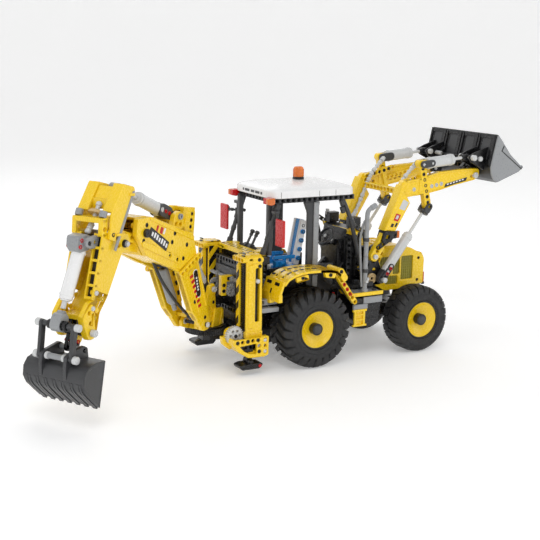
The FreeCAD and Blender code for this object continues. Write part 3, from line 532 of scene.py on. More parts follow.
# ---------------------------------------------------------------- chassis and bodywork
def machinery():
    """Black beams, pins, axles and gears that fill the tractor's middle."""
    black, grey, red, tan, yellow, blue = [], [], [], [], [], []
    for y0, y1 in ((37, 42), (30, 35)):
        for z in (66, 76, 88):
            black += both(beam((-56 if y0 < 35 else 56, z), (108, z), 3.6, y0, y1))
    for x in (60, 76, 92, 108):
        black += both(beam((x, 60), (x, 92), 3.6, 42, 45.5))
    for x in (66, 90):
        black += beam((-40, 92), (40, 92), 3.6, x, x + 7, across="x")
    for x, z in ((20, 84), (44, 72), (84, 84), (100, 72), (68, 72)):
        grey += axle((x, -47, z), (x, 47, z), 2.2)
        grey += both(bush((x, 36, z), (x, 60, z), 8.5, 12.5))
    for x, z in ((28, 68), (36, 76), (52, 88), (84, 66), (100, 88), (-30, 76), (-38, 88)):
        red += both(studs([(x, z)], 42, 1, proud=1.2))
    for x, z in ((92, 76), (108, 66), (44, 88), (12, 66), (60, 76)):
        tan += both(studs([(x, z)], 42, 1, proud=1.6))
    tan += both(gear((84, 84), 43, 46.5, 16, 8.6))
    grey += both(gear((100, 72), 46, 49.5, 24, 12.4))
    black += brick(106, 124, -30, 30, 88, 96, holes=row((109, 92), (121, 92), 2))
    black += brick(104, 124, -26, 26, 96, 128)
    black += both(beam((104, 104), (104, 136), 3.6, 26, 33))
    black += both(beam((114, 112), (114, 144), 3.6, 20, 27))
    black += both(beam((104, 122), (136, 122), 3.6, 15, 20)) + both(beam((100, 130), (132, 142), 3.6, 22, 29))
    black += beam((-32, 128), (32, 128), 3.6, 100, 107, across="x")
    black += beam((-32, 112), (32, 112), 3.6, 98, 105, across="x")
    yellow += both(beam((112, 108), (128, 108), 3.6, 33, 37))
    yellow += both(beam((100, 118), (124, 130), 3.6, 33, 37))
    grey += both(axle((118, 10, 138), (118, 36, 138), 2.2)) + both(bush((118, 24, 138), (118, 36, 138), 2, 7))
    grey += both(gear((106, 140), 12, 15, 20, 10))
    red += both(studs([(120, 128), (108, 116), (124, 142)], 33, 1, proud=1.4))
    blue += both(studs([(112, 122), (128, 134)], 33, 1, proud=1.2))
    for name, slot, parts in (("frame_beams", "black_plastic", black),
                              ("frame_axles", "light_grey_plastic", grey),
                              ("frame_pins_red", "red_plastic", red),
                              ("frame_bushes_tan", "tan_plastic", tan),
                              ("frame_beams_yellow", "yellow_plastic", yellow),
                              ("frame_pins_blue", "blue_plastic", blue)):
        piece(name, "chassis", slot, parts)


def under_cab():
    """What shows under the cab floor beside the rear wheel and behind the seat."""
    black = both(beam((-88, 66), (-88, 138), 3.6, 20, 25)) + both(beam((-72, 72), (-72, 136), 3.6, 34.5, 38))
    black += both(beam((-80, 86), (-60, 140), 3.6, 38.2, 41.6))
    black += both(beam((-56, 104), (-56, 150), 3.6, 34, 40))
    black += brick(-93, -89, -30, 30, 98, 132, across="x")
    black += beam((-32, 78), (32, 78), 3.6, -97, -90, across="x")
    black += beam((-32, 140), (32, 140), 3.6, -92, -85, across="x")
    piece("rear_beams", "chassis", "black_plastic", black)
    grey = axle((-94, -40, 118), (-94, 40, 118)) + both(bush((-94, 8, 118), (-94, 40, 118), 10, 15))
    grey += both(brick(-78, -50, 60, 68, 80, 86))
    grey += both(axle((-60, 40, 84), (-60, 58, 84)))
    grey += both(gear((-97, 104), 22, 25, 16, 8.5))
    piece("rear_axles", "chassis", "light_grey_plastic", grey)
    piece("rear_pins", "chassis", "red_plastic", both(studs([(-88, 98), (-88, 114)], 25, 1, proud=1.4)))


def front():
    """The front axle's bridge, the chassis rails and the rear axle's shaft."""
    x = FRONT_X
    bridge = plate(rounded([(x - 9, 40.2), (x + 9, 40.2), (x + 9, 53.6), (x - 9, 53.6)], 3), -30, 30,
                   holes=[(x - 4, 47), (x + 4, 47)])
    bridge += both(plate(rounded([(x - 5.5, 40.4), (x + 5.5, 40.4), (x + 5.5, 53.6), (x - 5.5, 53.6)],
                                 1.5), 30, 36))
    bridge += both(tube((x, 40, 40.2), (x, 40, 53.8), 5.8, 2.5))
    bridge += brick(x - 8, x + 8, -12, 12, 53, 60)
    piece("front_bridge", "chassis", "black_plastic", bridge, replaces=["front_axle"])
    rails = both(beam((-84, 52), (200, 52), 6.6, 15, 22.6, holes=row((-80, 52), (200, 52), 36)))
    rails += both(plate(rounded([(196, 46), (217, 44), (217, 84), (205, 84), (200, 62)], 2), 12, 22,
                        holes=[(208, 52), (208, 60), (208, 68), (208, 76)]))
    rails += beam((-24, 52), (24, 52), 3.6, 205, 212, across="x")
    rails += beam((-24, 76), (24, 76), 3.6, 207, 214, across="x")
    piece("chassis_rails", "chassis", "black_plastic", rails)
    ends = axle((0, -76, REAR_R), (0, 76, REAR_R)) + both(bush((0, 38, REAR_R), (0, 50, REAR_R), 2.5, 6.5))
    piece("rear_axle_shaft", "chassis", "dark_grey_plastic", ends, replaces=["rear_axle"])


def steps():
    """Side platforms, steps and tanks."""
    ledge = plate(rounded([(62, 53), (112.5, 53), (112.5, 73), (62, 73)], 2), 88.2, 92.4, across="z")
    ledge += plate(rounded([(62.5, 38), (112.5, 38), (112.5, 53), (62.5, 53)], 1), 88.2, 92.2, across="z")
    piece("platform_plates", "chassis", "light_grey_plastic",
          both(ledge + brick(82, 113, 69.6, 73.0, 77.4, 86.4) + brick(64.5, 88, 70.6, 74.2, 70.6, 77.2)))
    edge = brick(61.6, 113, 71.4, 74.6, 88.6, 93.6) + brick(61.6, 65, 40, 73, 88.6, 93.6)
    rungs = brick(66, 69, 71.6, 74.8, 47.2, 70.4) + brick(80.5, 84, 71.6, 74.8, 47.2, 70.4)
    rungs += brick(64, 86.5, 71.6, 75, 46.8, 49.4) + brick(64, 86.5, 71.6, 75, 67.4, 70.6)
    rungs += brick(68, 81, 71.6, 74.6, 54.5, 57) + brick(68, 81, 71.6, 74.6, 61.5, 64)
    rungs += brick(67, 82, 71, 72.4, 48, 70)
    piece("steps_and_edge", "chassis", "yellow_plastic", both(edge + rungs), replaces=["side_steps"])
    tank = plate(rounded([(65, 56), (72, 47.4), (101, 44.4), (108, 49), (112.5, 76), (112.5, 86),
                          (66, 86)], 2.5), 40, 71.4, ease=1.0)
    tank += brick(68, 102, 22, 40, 48, 60)
    for z in (56, 66, 78):
        tank += brick(89, 107.5 + (z - 56) * 0.12, 70.8, 72.0, z, z + 0.9, ease=0.15)
    piece("tank_shells", "chassis", "black_plastic", both(tank), replaces=["side_tanks"])
    caps = both(rod((106, 62, 92.6), (106, 62, 94.4), 3.2))
    piece("platform_caps", "chassis", "dark_grey_plastic", caps + both(brick(98, 112, 42, 52, 92, 93.6)))


def bonnet():
    """The engine cover: crowned top, flat sides with framed windows, a black front grille."""
    outline = [(213, 86), (214, 123), (207, 131), (190, 140), (172, 145.6), (152, 146.4), (130, 146),
               (124, 134), (129, 116), (129, 89)]
    outline = rounded(outline, 3)
    windows = [rounded(rect(*w), 2.2) for w in ((136, 154, 106, 130), (158.5, 170, 104, 129),
                                                (173, 193.5, 95, 129), (146, 167, 88.8, 101.6))]
    sides = both(plate(outline, 31, 34, windows=windows,
                       holes=[(203.5, 124.5), (202.5, 92.5), (132.5, 139), (133.5, 94)], radius=2.1,
                       ease=0.7))
    rings = []
    for x, z in [(213.2, 86), (213.8, 104), (213.6, 122.5), (207, 130.6), (199, 135.6), (190, 139.6),
                 (181, 143), (172, 145.2), (162, 146), (152, 146.2), (140, 146), (130, 145.6),
                 (126.5, 140), (124.6, 134)]:
        down, low = (2.2 if z > 130 else 0), (x > 205 and z < 131)
        rings.append([(x, -32, z - down), (x, -24, z - down * 0.25), (x, -10, z), (x, 10, z),
                      (x, 24, z - down * 0.25), (x, 32, z - down),
                      (x - (3 if low else 0.6), 32, z - down - 2.6),
                      (x - (3 if low else 0.6), -32, z - down - 2.6)])
    parts = sides + loft(rings[3:])
    parts += plate(rounded([(-33, 86), (33, 86), (33, 124), (27, 131), (-27, 131), (-33, 124)], 2.5),
                   209.8, 214.4, across="x", windows=[rounded(rect(-16, 16, 91, 123), 2),
                                                      rounded(rect(-29.5, -18.5, 90, 119), 1.5),
                                                      rounded(rect(18.5, 29.5, 90, 119), 1.5)], ease=0.8)
    for x in (140.5, 156.3, 171.6):
        parts += both(brick(x, x + 0.7, 33.7, 34.3, 131.5, 143.4, ease=0.1))
    parts += both(brick(130, 208, 33.7, 34.3, 130.8, 131.4, ease=0.1))
    parts += both(plate(rounded([(146, 81.5), (198, 82), (206, 88.6), (129.5, 90.5)], 3), 29, 33.6))
    for x in (136, 150, 164):
        parts += brick(x, x + 7, -12, 12, 146, 147, ease=0.3)
    piece("bonnet_shell", "chassis", "yellow_plastic", parts, replaces=["hood"])
    mesh = []
    for x0, x1, z0, z1 in ((136, 154, 106, 130), (158, 170.5, 103.5, 129.5), (172.5, 194, 94.5, 129.5),
                           (145.5, 167.5, 88.4, 102)):
        mesh += brick(x0 - 1, x1 + 1, 30.2, 31.4, z0 - 1, z1 + 1)
        count = int((x1 - x0) / 3)
        for p in row((x0, 0), (x1, 0), count):
            mesh += brick(p[0] - 0.4, p[0] + 0.4, 31.2, 32.2, z0, z1, ease=0.15)
        for p in row((0, z0), (0, z1), int((z1 - z0) / 3.4)):
            mesh += brick(x0, x1, 31.2, 32.0, p[1] - 0.4, p[1] + 0.4, ease=0.15)
    piece("bonnet_mesh", "chassis", "olive_mesh", both(mesh))
    grille = brick(206.5, 209.6, -31, 31, 88, 127, across="x")
    for z in range(93, 122, 4):
        grille += brick(209, 212.6, -16, 16, z, z + 1.6)
    grille += both(studs([(203.5, 124.5), (202.5, 92.5)], 34, 1, radius=2.0, proud=0.1))
    for y in (-18, 0, 18):
        grille += brick(213.5, 215.6, y - 1.5, y + 1.5, 94, 121)
    grille += brick(213, 217, -33, 33, 84.4, 88)
    piece("bonnet_grille", "chassis", "black_plastic", grille, replaces=["hood_grilles"])
    lens = both(brick(210, 215.6, 19, 29, 90.6, 118.4, ease=0.9))
    lens += both(brick(213, 214.8, 30.5, 34.6, 88, 103, ease=0.6))
    piece("front_lamps", "chassis", "orange_lens", lens)


def mudguards():
    """Wheel arches of curved panels: slotted top, notched rear flap, sloping front beams."""
    line = [(-62, 103), (-59, 112), (-55, 121), (-49, 127.5), (-40, 131.6), (-30, 134), (-19, 135),
            (0, 134.6), (16, 133.6), (26, 131.2), (32, 126)]
    slots = [(-44, -37), (-34, -27.5), (-24, -18), (-14.5, -8.5), (-5, 1)]
    parts = []
    for y0, y1 in ((46, 58), (60.5, 74), (76.5, 90)):
        rings = [[(x, y0, z), (x, y1, z), (x * 0.975 - 0.2, y1, z - 3), (x * 0.975 - 0.2, y0, z - 3)]
                 for x, z in line[2:]]
        parts += loft(rings)
    rings = [[(x, 46, z), (x, 90, z), (x * 0.975 - 0.2, 90, z - 3), (x * 0.975 - 0.2, 46, z - 3)]
             for x, z in line[7:]]
    parts += loft(rings)
    for y0, y1 in ((57.5, 61), (73.5, 77)):
        for x0, x1 in zip([-54] + [b for a, b in slots], [a for a, b in slots] + [2]):
            zs = [z for x, z in line if x0 - 9 < x < x1 + 9]
            top = max(zs)
            low = 125 if x0 < -50 else top - 4
            parts += plate([(x0, low), (x1, top - 3.2), (x1, top - 0.3),
                            (x0, top - 0.3 if x0 > -50 else 122.6)], y0, y1, ease=0.2)
    flap = plate([(-59.5, 106), (-53.2, 124), (-57, 124.2), (-63.4, 106.4)], 46, 90, ease=0.5)
    flap += plate([(-63.4, 92), (-56.6, 92), (-56.2, 107), (-63.6, 107)], 46, 66, ease=0.5)
    flap += plate([(-63.6, 97), (-58, 97), (-58, 107), (-63.6, 107)], 68, 90, ease=0.5)
    parts += flap
    parts += beam((30, 128), (62, 84), 3.6, 74, 81)
    parts += beam((32, 130), (38, 121), 4.6, 60, 90, holes=[(32, 130)])
    parts += beam((36, 122), (66, 86), 3.2, 60, 66)
    parts += plate(rounded([(-38, 128), (-20, 131), (-18, 124), (-36, 121)], 1.5), 86, 90.5,
                   holes=[(-28, 127)])
    parts += plate(rounded([(6, 131), (24, 129), (22, 122), (8, 124)], 1.5), 84, 90, holes=[(15, 127)])
    piece("mudguards", "chassis", "yellow_plastic", both(parts), replaces=["fenders"])
    red = both(studs([(43, 110), (48.5, 102.5), (54, 95)], 81, 1, proud=1.0))
    piece("mudguard_pins_red", "chassis", "red_plastic", red)
    dark = both(studs([(32, 130)], 90, 1, proud=0.3)) + both(beam((34, 119), (60, 88), 3.4, 68, 73))
    dark += both(brick(-50, 24, 48, 54, 120.5, 128.5, holes=row((-44, 124.5), (18, 124.5), 9)))
    dark += both(studs([(-28, 127), (15, 127)], 90.5, 1, proud=0.2))
    for a, b in [(-50, -44.5)] + slots:
        heights = [next(lerp(p, q, (x - p[0]) / (q[0] - p[0]))[1]
                        for p, q in zip(line, line[1:]) if p[0] <= x <= q[0]) for x in (a, b)]
        for y0, y1 in ((57.0, 61.5), (73.0, 77.5)):
            dark += both(plate([(a, heights[0] - 4), (b, heights[1] - 4), (b, heights[1] + 0.35),
                                (a, heights[0] + 0.35)], y0, y1, ease=0.1))
    for y, t0, t1, half in ((57, 0.62, 0.84, 5.6), (77, 0.62, 0.84, 5.6), (67, 0.0, 0.34, 1.6)):
        low, high = lerp((-63.3, 106.3), (-57.0, 124.2), t0), lerp((-63.3, 106.3), (-57.0, 124.2), t1)
        dark += both(plate([(low[0] - 0.3, low[1]), (low[0] + 0.8, low[1]), (high[0] + 0.8, high[1]),
                            (high[0] - 0.3, high[1])], y - half, y + half, ease=0.1))
    piece("mudguard_beams", "chassis", "black_plastic", dark)


def exhaust():
    """The exhaust pipe on the right, with its clamps."""
    pipe = []
    stops = [94, 106, 124, 142, 160, 178, 192]
    for a, b in zip(stops, stops[1:]):
        pipe += rod((86, -68, a), (86, -68, b - 0.4), 3.1) + rod((86, -68, b - 1.0), (86, -68, b + 0.4), 2.6)
    pipe += turned([(0, 0), (4.4, 0), (4.6, 0.6), (4.6, 4), (3.4, 5)], (86, -68, 93), (86, -68, 99), 20)
    pipe += path_tube(curved([(86, -68, 192), (86, -68, 199), (87.5, -68, 204.5), (92, -68, 208.5),
                              (98.5, -68, 211)]), 3.2, 16)
    pipe += tube((92, -68, 208.3), (99.8, -68, 211.8), 3.9, 2.7)
    pipe += path_tube(curved([(82, -66, 100), (80, -64, 140), (80, -62, 165), (84, -62, 184),
                              (88, -60, 190)]), 1.6, 10)
    piece("exhaust_stack", "chassis", "light_grey_plastic", pipe, replaces=["exhaust_pipe"])
    clamps = tube((86, -68, 120), (86, -68, 125), 4.0, 3.1) + tube((86, -68, 163), (86, -68, 168), 4.0, 3.1)
    clamps += rod((86, -64, 122), (86, -50, 122), 1.8) + beam((-66, 102), (-44, 102), 3.2, 83, 89, across="x")
    piece("exhaust_clamps", "chassis", "dark_grey_plastic", clamps)
    knobs = rod((91, -66, 108), (91, -66, 112), 3) + rod((86, -71, 108), (86, -74, 108), 2)
    piece("exhaust_plug", "chassis", "silver_plastic", knobs)


machinery()
under_cab()
front()
steps()
bonnet()
mudguards()
exhaust()


# ---------------------------------------------------------------- cab
def rounded_rect(x0, x1, y0, y1, radius, z, steps=6):
    """A ring of points round a rectangle with round corners."""
    ring = []
    for cx, cy, start in ((x1 - radius, y1 - radius, 0), (x0 + radius, y1 - radius, 90),
                          (x0 + radius, y0 + radius, 180), (x1 - radius, y0 + radius, 270)):
        for k in range(steps + 1):
            a = math.radians(start + 90 * k / steps)
            ring.append((cx + radius * math.cos(a), cy + radius * math.sin(a), z))
    return ring


def cab_posts():
    """The roof frame and the cab's posts."""
    dark, strips = [], []
    x0, x1, z0, z1, mid = -50, 76, 219.4, 225.8, 222.6
    for y0 in (43, -50):
        dark += brick(x0, x1, y0, y0 + 7, z0, z1, holes=row((x0 + 5, mid), (x1 - 5, mid), 15))
    for start in (x0, x1 - 8):
        dark += brick(start, start + 8, -44, 44, z0, z1, across="x", holes=row((-38, mid), (38, mid), 10))
    one = plate(rounded([(4, 101), (20, 101), (20, 205), (23, 219), (-2, 219), (4, 205)], 3), 43, 47.6)
    one += brick(-54, -47.4, 36, 42.6, 150, 222, ease=0.6)
    one += brick(-53, -48.4, 35.4, 43.2, 152, 218, ease=0.4)
    for x, z in ((57, 219), (58.5, 209)):
        one += rod((x, 46.5, z), (x + 3, 46.5, z - 8), 3.4)
    one += path_tube(curved([(60, 46.5, 219), (68, 46.5, 203), (75, 46.5, 186), (87, 46.5, 145),
                             (100, 46.5, 103)]), 2.9, 14)
    one += rod((74, 46.5, 191), (77.5, 46.5, 181), 4.2) + rod((97, 46.5, 114), (100, 46.5, 103), 4.2)
    one += beam((77, 184), (96, 172), 2.8, 44, 48.6) + rod((96, 46.5, 172), (104, 46.5, 128), 2.4)
    low, high = (-64, 46.5, 153), (-42, 46.5, 218)
    one += rod(low, high, 2.9, 18)
    for t0, t1, r in ((0.0, 0.12, 4.1), (0.28, 0.36, 3.6), (0.52, 0.66, 4.2), (0.82, 1.0, 4.1)):
        one += rod(lerp(low, high, t0), lerp(low, high, t1), r, 18)
    one += rod(lerp(low, high, 0.72), tuple(Vector(lerp(low, high, 0.72)) + Vector((9, 0, -3))), 2.2)
    one += tube((-47, 54, 189.4), (-47, 54, 193.6), 3.2, 1.5) + rod((-47, 54, 189.8), (-47, 54, 207), 1.55)
    one += plate(rounded([(-52, 46), (-45, 46), (-45, 56.6), (-52, 56.6)], 1.5), 207, 211, across="z")
    dark += both(one)
    piece("cab_posts", "chassis", "dark_grey_plastic", dark, replaces=["cab_frame"])
    strips = both(brick(12.5, 20.5, 47.4, 49.6, 103, 218, ease=0.5))
    for z in (118, 141, 164, 187):
        strips += both(brick(12.2, 20.8, 49, 50, z, z + 2, ease=0.3))
    strips += both(rod((17, 50, 219), (17, 50, 219.6), 2))
    piece("cab_post_strips", "chassis", "light_grey_plastic", strips)
    under = []
    for y in (-40, -14, 14, 40):
        under += plate(rounded([(-48, y - 3.6), (74, y - 3.6), (74, y + 3.6), (-48, y + 3.6)], 3.6),
                       219.6, 225, across="z", holes=row((-44, y), (70, y), 15))
    piece("cab_roof_beams", "chassis", "black_plastic", under)


def cab_roof():
    """The white roof with its marks, lamps and beacon."""
    levels = [(226, 0.4, 13), (226.6, 0, 13), (234.2, 0.2, 13), (235.8, 1.2, 13), (237.4, 4, 13),
              (239.0, 9, 12), (240.7, 17, 11), (241.9, 26, 9), (242.8, 36, 7), (243.2, 46, 4)]
    parts = loft([rounded_rect(-54.6 + d, 78 - d, -52.4 + d, 52.4 - d, r, z) for z, d, r in levels])
    piece("roof_shell", "chassis", "white_plastic", parts, replaces=["roof"])
    seams = brick(-41, -40.5, -52.6, 52.6, 226.4, 234.4, ease=0.1)
    seams += brick(44, 44.4, -52.6, 52.6, 226.6, 234, ease=0.1)
    seams += brick(18, 18.4, -52.6, 52.6, 226.6, 234, ease=0.1)
    for y0, y1 in ((-26, -22), (-19, -8), (-5, 4), (8, 20), (23, 26)):
        seams += brick(-54.9, -54.2, y0, y1, 229, 232.2, ease=0.1)
    for x, y in ((-18, -24), (-26, 26), (48, -22), (50, 24)):
        seams += plate(rounded([(x - 4, y - 1.2), (x + 4, y - 1.2), (x + 4, y + 1.2), (x - 4, y + 1.2)],
                               1), 238, 241.2 - abs(y) * 0.04, across="z", ease=0.2)
    piece("roof_seams", "chassis", "dark_grey_plastic", seams)
    lens = turned([(0, 0), (6.6, 0), (6.9, 0.8), (7.0, 10), (6.4, 12.8), (4.6, 14.0), (0, 14.2)],
                  (17, 0, 246.6), (17, 0, 260), 32)
    for k in range(12):
        a = math.pi * k / 6
        lens += rod((17 + 6.8 * math.cos(a), 6.8 * math.sin(a), 247),
                    (17 + 6.8 * math.cos(a), 6.8 * math.sin(a), 257.5), 0.7, 8)
    piece("beacon_lens", "beacon", "orange_lens", lens, replaces=["beacon"])
    foot = turned([(0, 0), (7.4, 0), (7.4, 2.8), (6.9, 3.4), (0, 3.4)], (17, 0, 243.3), (17, 0, 250), 32)
    for k in range(16):
        a = math.pi * k / 8
        foot += brick(17 + 7.2 * math.cos(a) - 0.5, 17 + 7.2 * math.cos(a) + 0.5, 7.2 * math.sin(a) - 0.5,
                      7.2 * math.sin(a) + 0.5, 243.4, 246.4, ease=0.2)
    piece("beacon_base", "beacon", "black_plastic", foot)
    amber, ruby = [], []
    amber += both(plate(rounded([(-62, 219.6), (-56, 218.2), (-51, 219.6), (-51, 227.6), (-62, 227)],
                                1), 48.4, 54.4))
    ruby += both(plate(rounded([(-62, 219.6), (-56, 218.2), (-51, 219.6), (-51, 227.6), (-62, 227)],
                               1), 41.8, 48))
    piece("tail_lamps_amber", "chassis", "orange_lens", amber)
    piece("tail_lamps_red", "chassis", "red_plastic", ruby, replaces=["lamps"])


def cab_inside():
    """Steering wheel, dashboard, seat and control levers."""
    centre, away = Vector((58, -10, 163)), Vector((-0.825, 0, 0.565)).normalized()
    tip = centre + away
    ring = [(13 + 2.1 * math.cos(a), 2.1 * math.sin(a)) for a in (2 * math.pi * k / 12 for k in range(12))]
    parts = turned(ring, centre, tip, 48, loop=True)
    down = Vector((-0.565, 0, -0.825))
    for way in (Vector((0, 1, 0)), Vector((0, -1, 0)), down):
        parts += rod(centre - away * 1.6, centre + way * 12, 1.3, 12)
    parts += turned([(0, -3), (4.4, -3), (4.6, 0), (3.6, 1.2), (0, 1.4)], centre, tip, 24)
    piece("steering_wheel_rim", "steering_wheel", "dark_grey_plastic", parts)
    hub = turned([(0, 1.0), (2.8, 1.0), (2.2, 2.4), (0, 2.6)], centre, tip, 20)
    hub += turned([(0, -11), (2.4, -11), (2.4, -3), (0, -3)], centre, tip, 16)
    piece("steering_wheel_hub", "steering_wheel", "silver_plastic", hub, replaces=["steering_wheel"])
    dash = brick(77, 99, -28.4, 28.4, 140, 165, ease=1.2)
    dash += beam((-30, 168), (30, 168), 3.6, 84, 91, across="x")
    dash += both(beam((82, 108), (82, 160), 3.6, 28.4, 33)) + both(beam((96, 108), (96, 172), 3.6, 28.4, 33))
    dash += both(brick(72, 77.4, 10, 24, 146, 158, ease=0.8)) + brick(70, 77, -22, -16, 118, 150)
    dash += both(brick(84, 100, 20, 34, 176, 190, ease=1.0))
    dash += both(plate(circle((92, 183), 6.4, 20), 33, 36)) + both(beam((60, 104), (84, 128), 3.6, 20, 26))
    piece("dashboard", "chassis", "black_plastic", dash)
    trims = beam((-44, 171), (8, 171), 3.4, 80, 86, across="x")
    trims += both(plate(rounded([(82, 176), (100, 176), (104, 170), (84, 170)], 1), 30, 37,
                        holes=[(92, 173)]))
    piece("dashboard_yellow", "chassis", "yellow_plastic", trims)
    dials = turned([(0, 0), (4.6, 0), (4.8, 0.8), (4.0, 1.2), (3.8, 0.7), (0, 0.7)], (77, 8, 154),
                   (72, 8, 156), 20)
    dials += turned([(0, 0), (3.2, 0), (3.4, 0.8), (2.8, 1.2), (2.6, 0.7), (0, 0.7)], (77, 17, 157),
                    (72, 17, 159), 20)
    dials += rod((86, 30, 186), (86, 30, 194), 2.6) + rod((92, -22, 190), (98, -22, 196), 2.6)
    piece("dashboard_dials", "chassis", "silver_plastic", dials)

    blue = plate(rounded([(-32, 121), (7, 120), (8, 127.6), (-30, 130)], 2.5), -14.6, 14.6)
    blue += plate(rounded([(6, 120), (14, 120), (27, 187), (18.5, 188.4)], 2.5), -5, 5)
    for z, x in ((136, 13), (148, 15.2), (160, 17.4), (172, 19.6)):
        blue += both(rod((x, 9, z), (x, 13, z), 3.2))
    blue += both(plate(rounded([(-30, 138), (4, 137), (5, 142), (-28, 143)], 1.6), 14, 17))
    blue += both(brick(-28, -12, 12, 20, 128, 136))
    blue += both(plate(capsule((-26, 124), (2, 124), 3.6), 14.6, 19, holes=row((-24, 124), (0, 124), 4)))
    blue += both(brick(-14, -9, 13.6, 16.4, 124, 139)) + both(rod((-22, 22, 132), (-12, 16, 132), 3.4))
    piece("seat_blue", "seat", "blue_plastic", blue)
    white = both(plate(rounded([(5.2, 128), (14.4, 126), (27.2, 186), (17.6, 189)], 2.0), 5, 9.8))
    white += both(plate(rounded([(-33, 122), (-24, 121), (-24, 130.4), (-32, 130)], 2), 4, 12))
    white += brick(-4, 2, -13, 13, 126, 131)
    white += both(rod((-10, 12, 134), (-20, 18, 132), 2.2))
    piece("seat_white", "seat", "white_plastic", white)
    under = turned([(0, 0), (9, 0), (9, 2), (6.4, 4), (6.4, 14), (12, 16), (12, 17.5), (0, 17.5)],
                   (-8, 0, 101.4), (-8, 0, 120), 24)
    under += both(studs([(-20, 124), (-4, 124)], 19, 1, proud=1.2)) + both(studs([(21, 180)], 9.6, 1))
    under += both(studs([(13, 136), (15.2, 148), (17.4, 160), (19.6, 172)], 13, 1, proud=0.4))
    piece("seat_base", "seat", "black_plastic", under, replaces=["seat"])

    sticks = []
    for y in (-9, 4):
        sticks += rod((-60, y, 157), (-51.4, y, 174), 1.7, 14)
        sticks += rod((-53.6, y, 169.8), (-52, y, 173), 2.5, 14)
        sticks += turned([(0, 0), (2.2, 0.2), (3.3, 1.6), (3.3, 3.2), (2.3, 4.8), (0, 5.2)],
                         (-52, y, 173), (-49.6, y, 178), 18)
        sticks += rod((-60, y - 3, 156.5), (-60, y + 3, 156.5), 4.4, 20)
    sticks += axle((-60, -21, 156.5), (-60, 21, 156.5), 2.2)
    piece("control_sticks", "levers", "dark_grey_plastic", sticks, replaces=["control_levers"])


def mirrors():
    """Red mirrors on their arms."""
    for name, hand in (("left", 1), ("right", -1)):
        panel = plate(rounded([(66, 168), (86.4, 168), (86.4, 203), (66, 203)], 1.2), -57, -54,
                      across="x", ease=0.6)
        panel += plate(rounded([(68, 170), (84.4, 170), (84.4, 201), (68, 201)], 1), -54.4, -53.2,
                       across="x", ease=0.3)
        piece("mirror_panel_" + name, "mirror_" + name, "red_plastic", panel if hand > 0 else mirrored(panel))
        clip = tube((-47, 54, 194), (-47, 54, 200), 3.4, 1.7)
        clip += rod((-49.4, 56, 197), (-55.5, 68.5, 197), 1.5, 12)
        clip += rod((-53.6, 68.4, 193.6), (-53.6, 68.4, 200.4), 2.0, 14)
        clip += tube((-51, 58.6, 197), (-53.2, 62.4, 197), 2.3, 1.4)
        piece("mirror_arm_" + name, "mirror_" + name, "dark_grey_plastic",
              clip if hand > 0 else mirrored(clip), replaces=["mirror_" + name])


def rear_cover():
    """The slotted cover behind the cab."""
    parts = []
    for y in range(-42, 42, 7):
        parts += brick(-84, -56, y + 0.2, y + 6.8, 152.6, 156.6, ease=0.5) if abs(y + 3.5) > 30 else []
    parts += brick(-84, -66, -30.5, 30.5, 151, 156.8, ease=0.6)
    parts += both(plate([(-84, 150), (-56, 150), (-56, 154), (-84, 154)], 24, 42, ease=0.4))
    parts += plate(rounded([(-109, 96), (-101, 96), (-101, 114.6), (-84, 114.6), (-84, 122.6),
                            (-109, 122.6)], 1), -18, -10,
                   holes=[(-105, 102), (-105, 110), (-98, 118.6), (-90, 118.6)])
    piece("rear_cover", "chassis", "yellow_plastic", parts, replaces=["rear_deck"])
    dark = []
    for y in range(-38, 40, 8):
        dark += plate([(-82, y), (-79, y), (-72, y + 5), (-75, y + 5)], 156.2, 157.0, across="z", ease=0.15)
    dark += studs([(-105, 102), (-105, 110), (-98, 118.6)], -18, -1, proud=0.2)
    piece("rear_cover_slots", "chassis", "black_plastic", dark)


cab_posts()
cab_roof()
cab_inside()
mirrors()
rear_cover()


# ---------------------------------------------------------------- loader
ARM_PIVOT, ARM_TIP, LIFT_BASE, LIFT_EYE = (112, 137), (285, 242.5), (126, 103.5), (201, 202)
TILT_BASE, TILT_EYE = (188, 262), (271, 269)


def pedestals():
    """The plates that carry the loader arms, and their discs."""
    posts = plate(rounded([(98, 94), (132, 94), (134, 108), (121, 146), (103, 146), (98, 120)], 2.5),
                  38, 41.6, holes=[(106, 104), (114, 104), (104, 114), (120, 116), (108, 124), (118, 128)])
    piece("pedestal_plates", "chassis", "black_plastic", both(posts + brick(98, 132, 34, 41.6, 94.2, 100.6)))
    slope = plate(capsule((112, 96), (136, 146), 3.8), 36, 40.6, holes=row((112, 96), (136, 146), 7))
    piece("pedestal_beams", "chassis", "yellow_plastic", both(slope))
    disc = turned([(2.3, 0), (7.4, 0), (7.5, 0.4), (7.5, 2.2), (7.1, 2.6), (6.2, 2.6), (5.6, 1.7),
                   (4.2, 1.7), (3.8, 2.4), (2.3, 2.4)], (115, 41.8, 104), (115, 46, 104), 40, loop=True)
    piece("pedestal_discs", "chassis", "tan_plastic", both(disc))
    pins = axle((112, 38, 137), (112, 56, 137))
    pins += axle((126, 38, 103.5), (126, 59.6, 103.5))
    pins += bush((112, 50, 137), (112, 60, 137), 3.6, 6.4, 3.4)
    pins += knob((126, 61.4, 103.5), (126, 56, 103.5), 3.8, 5.0)
    piece("pedestal_pins", "chassis", "silver_plastic", both(pins), replaces=["loader_pedestals"])


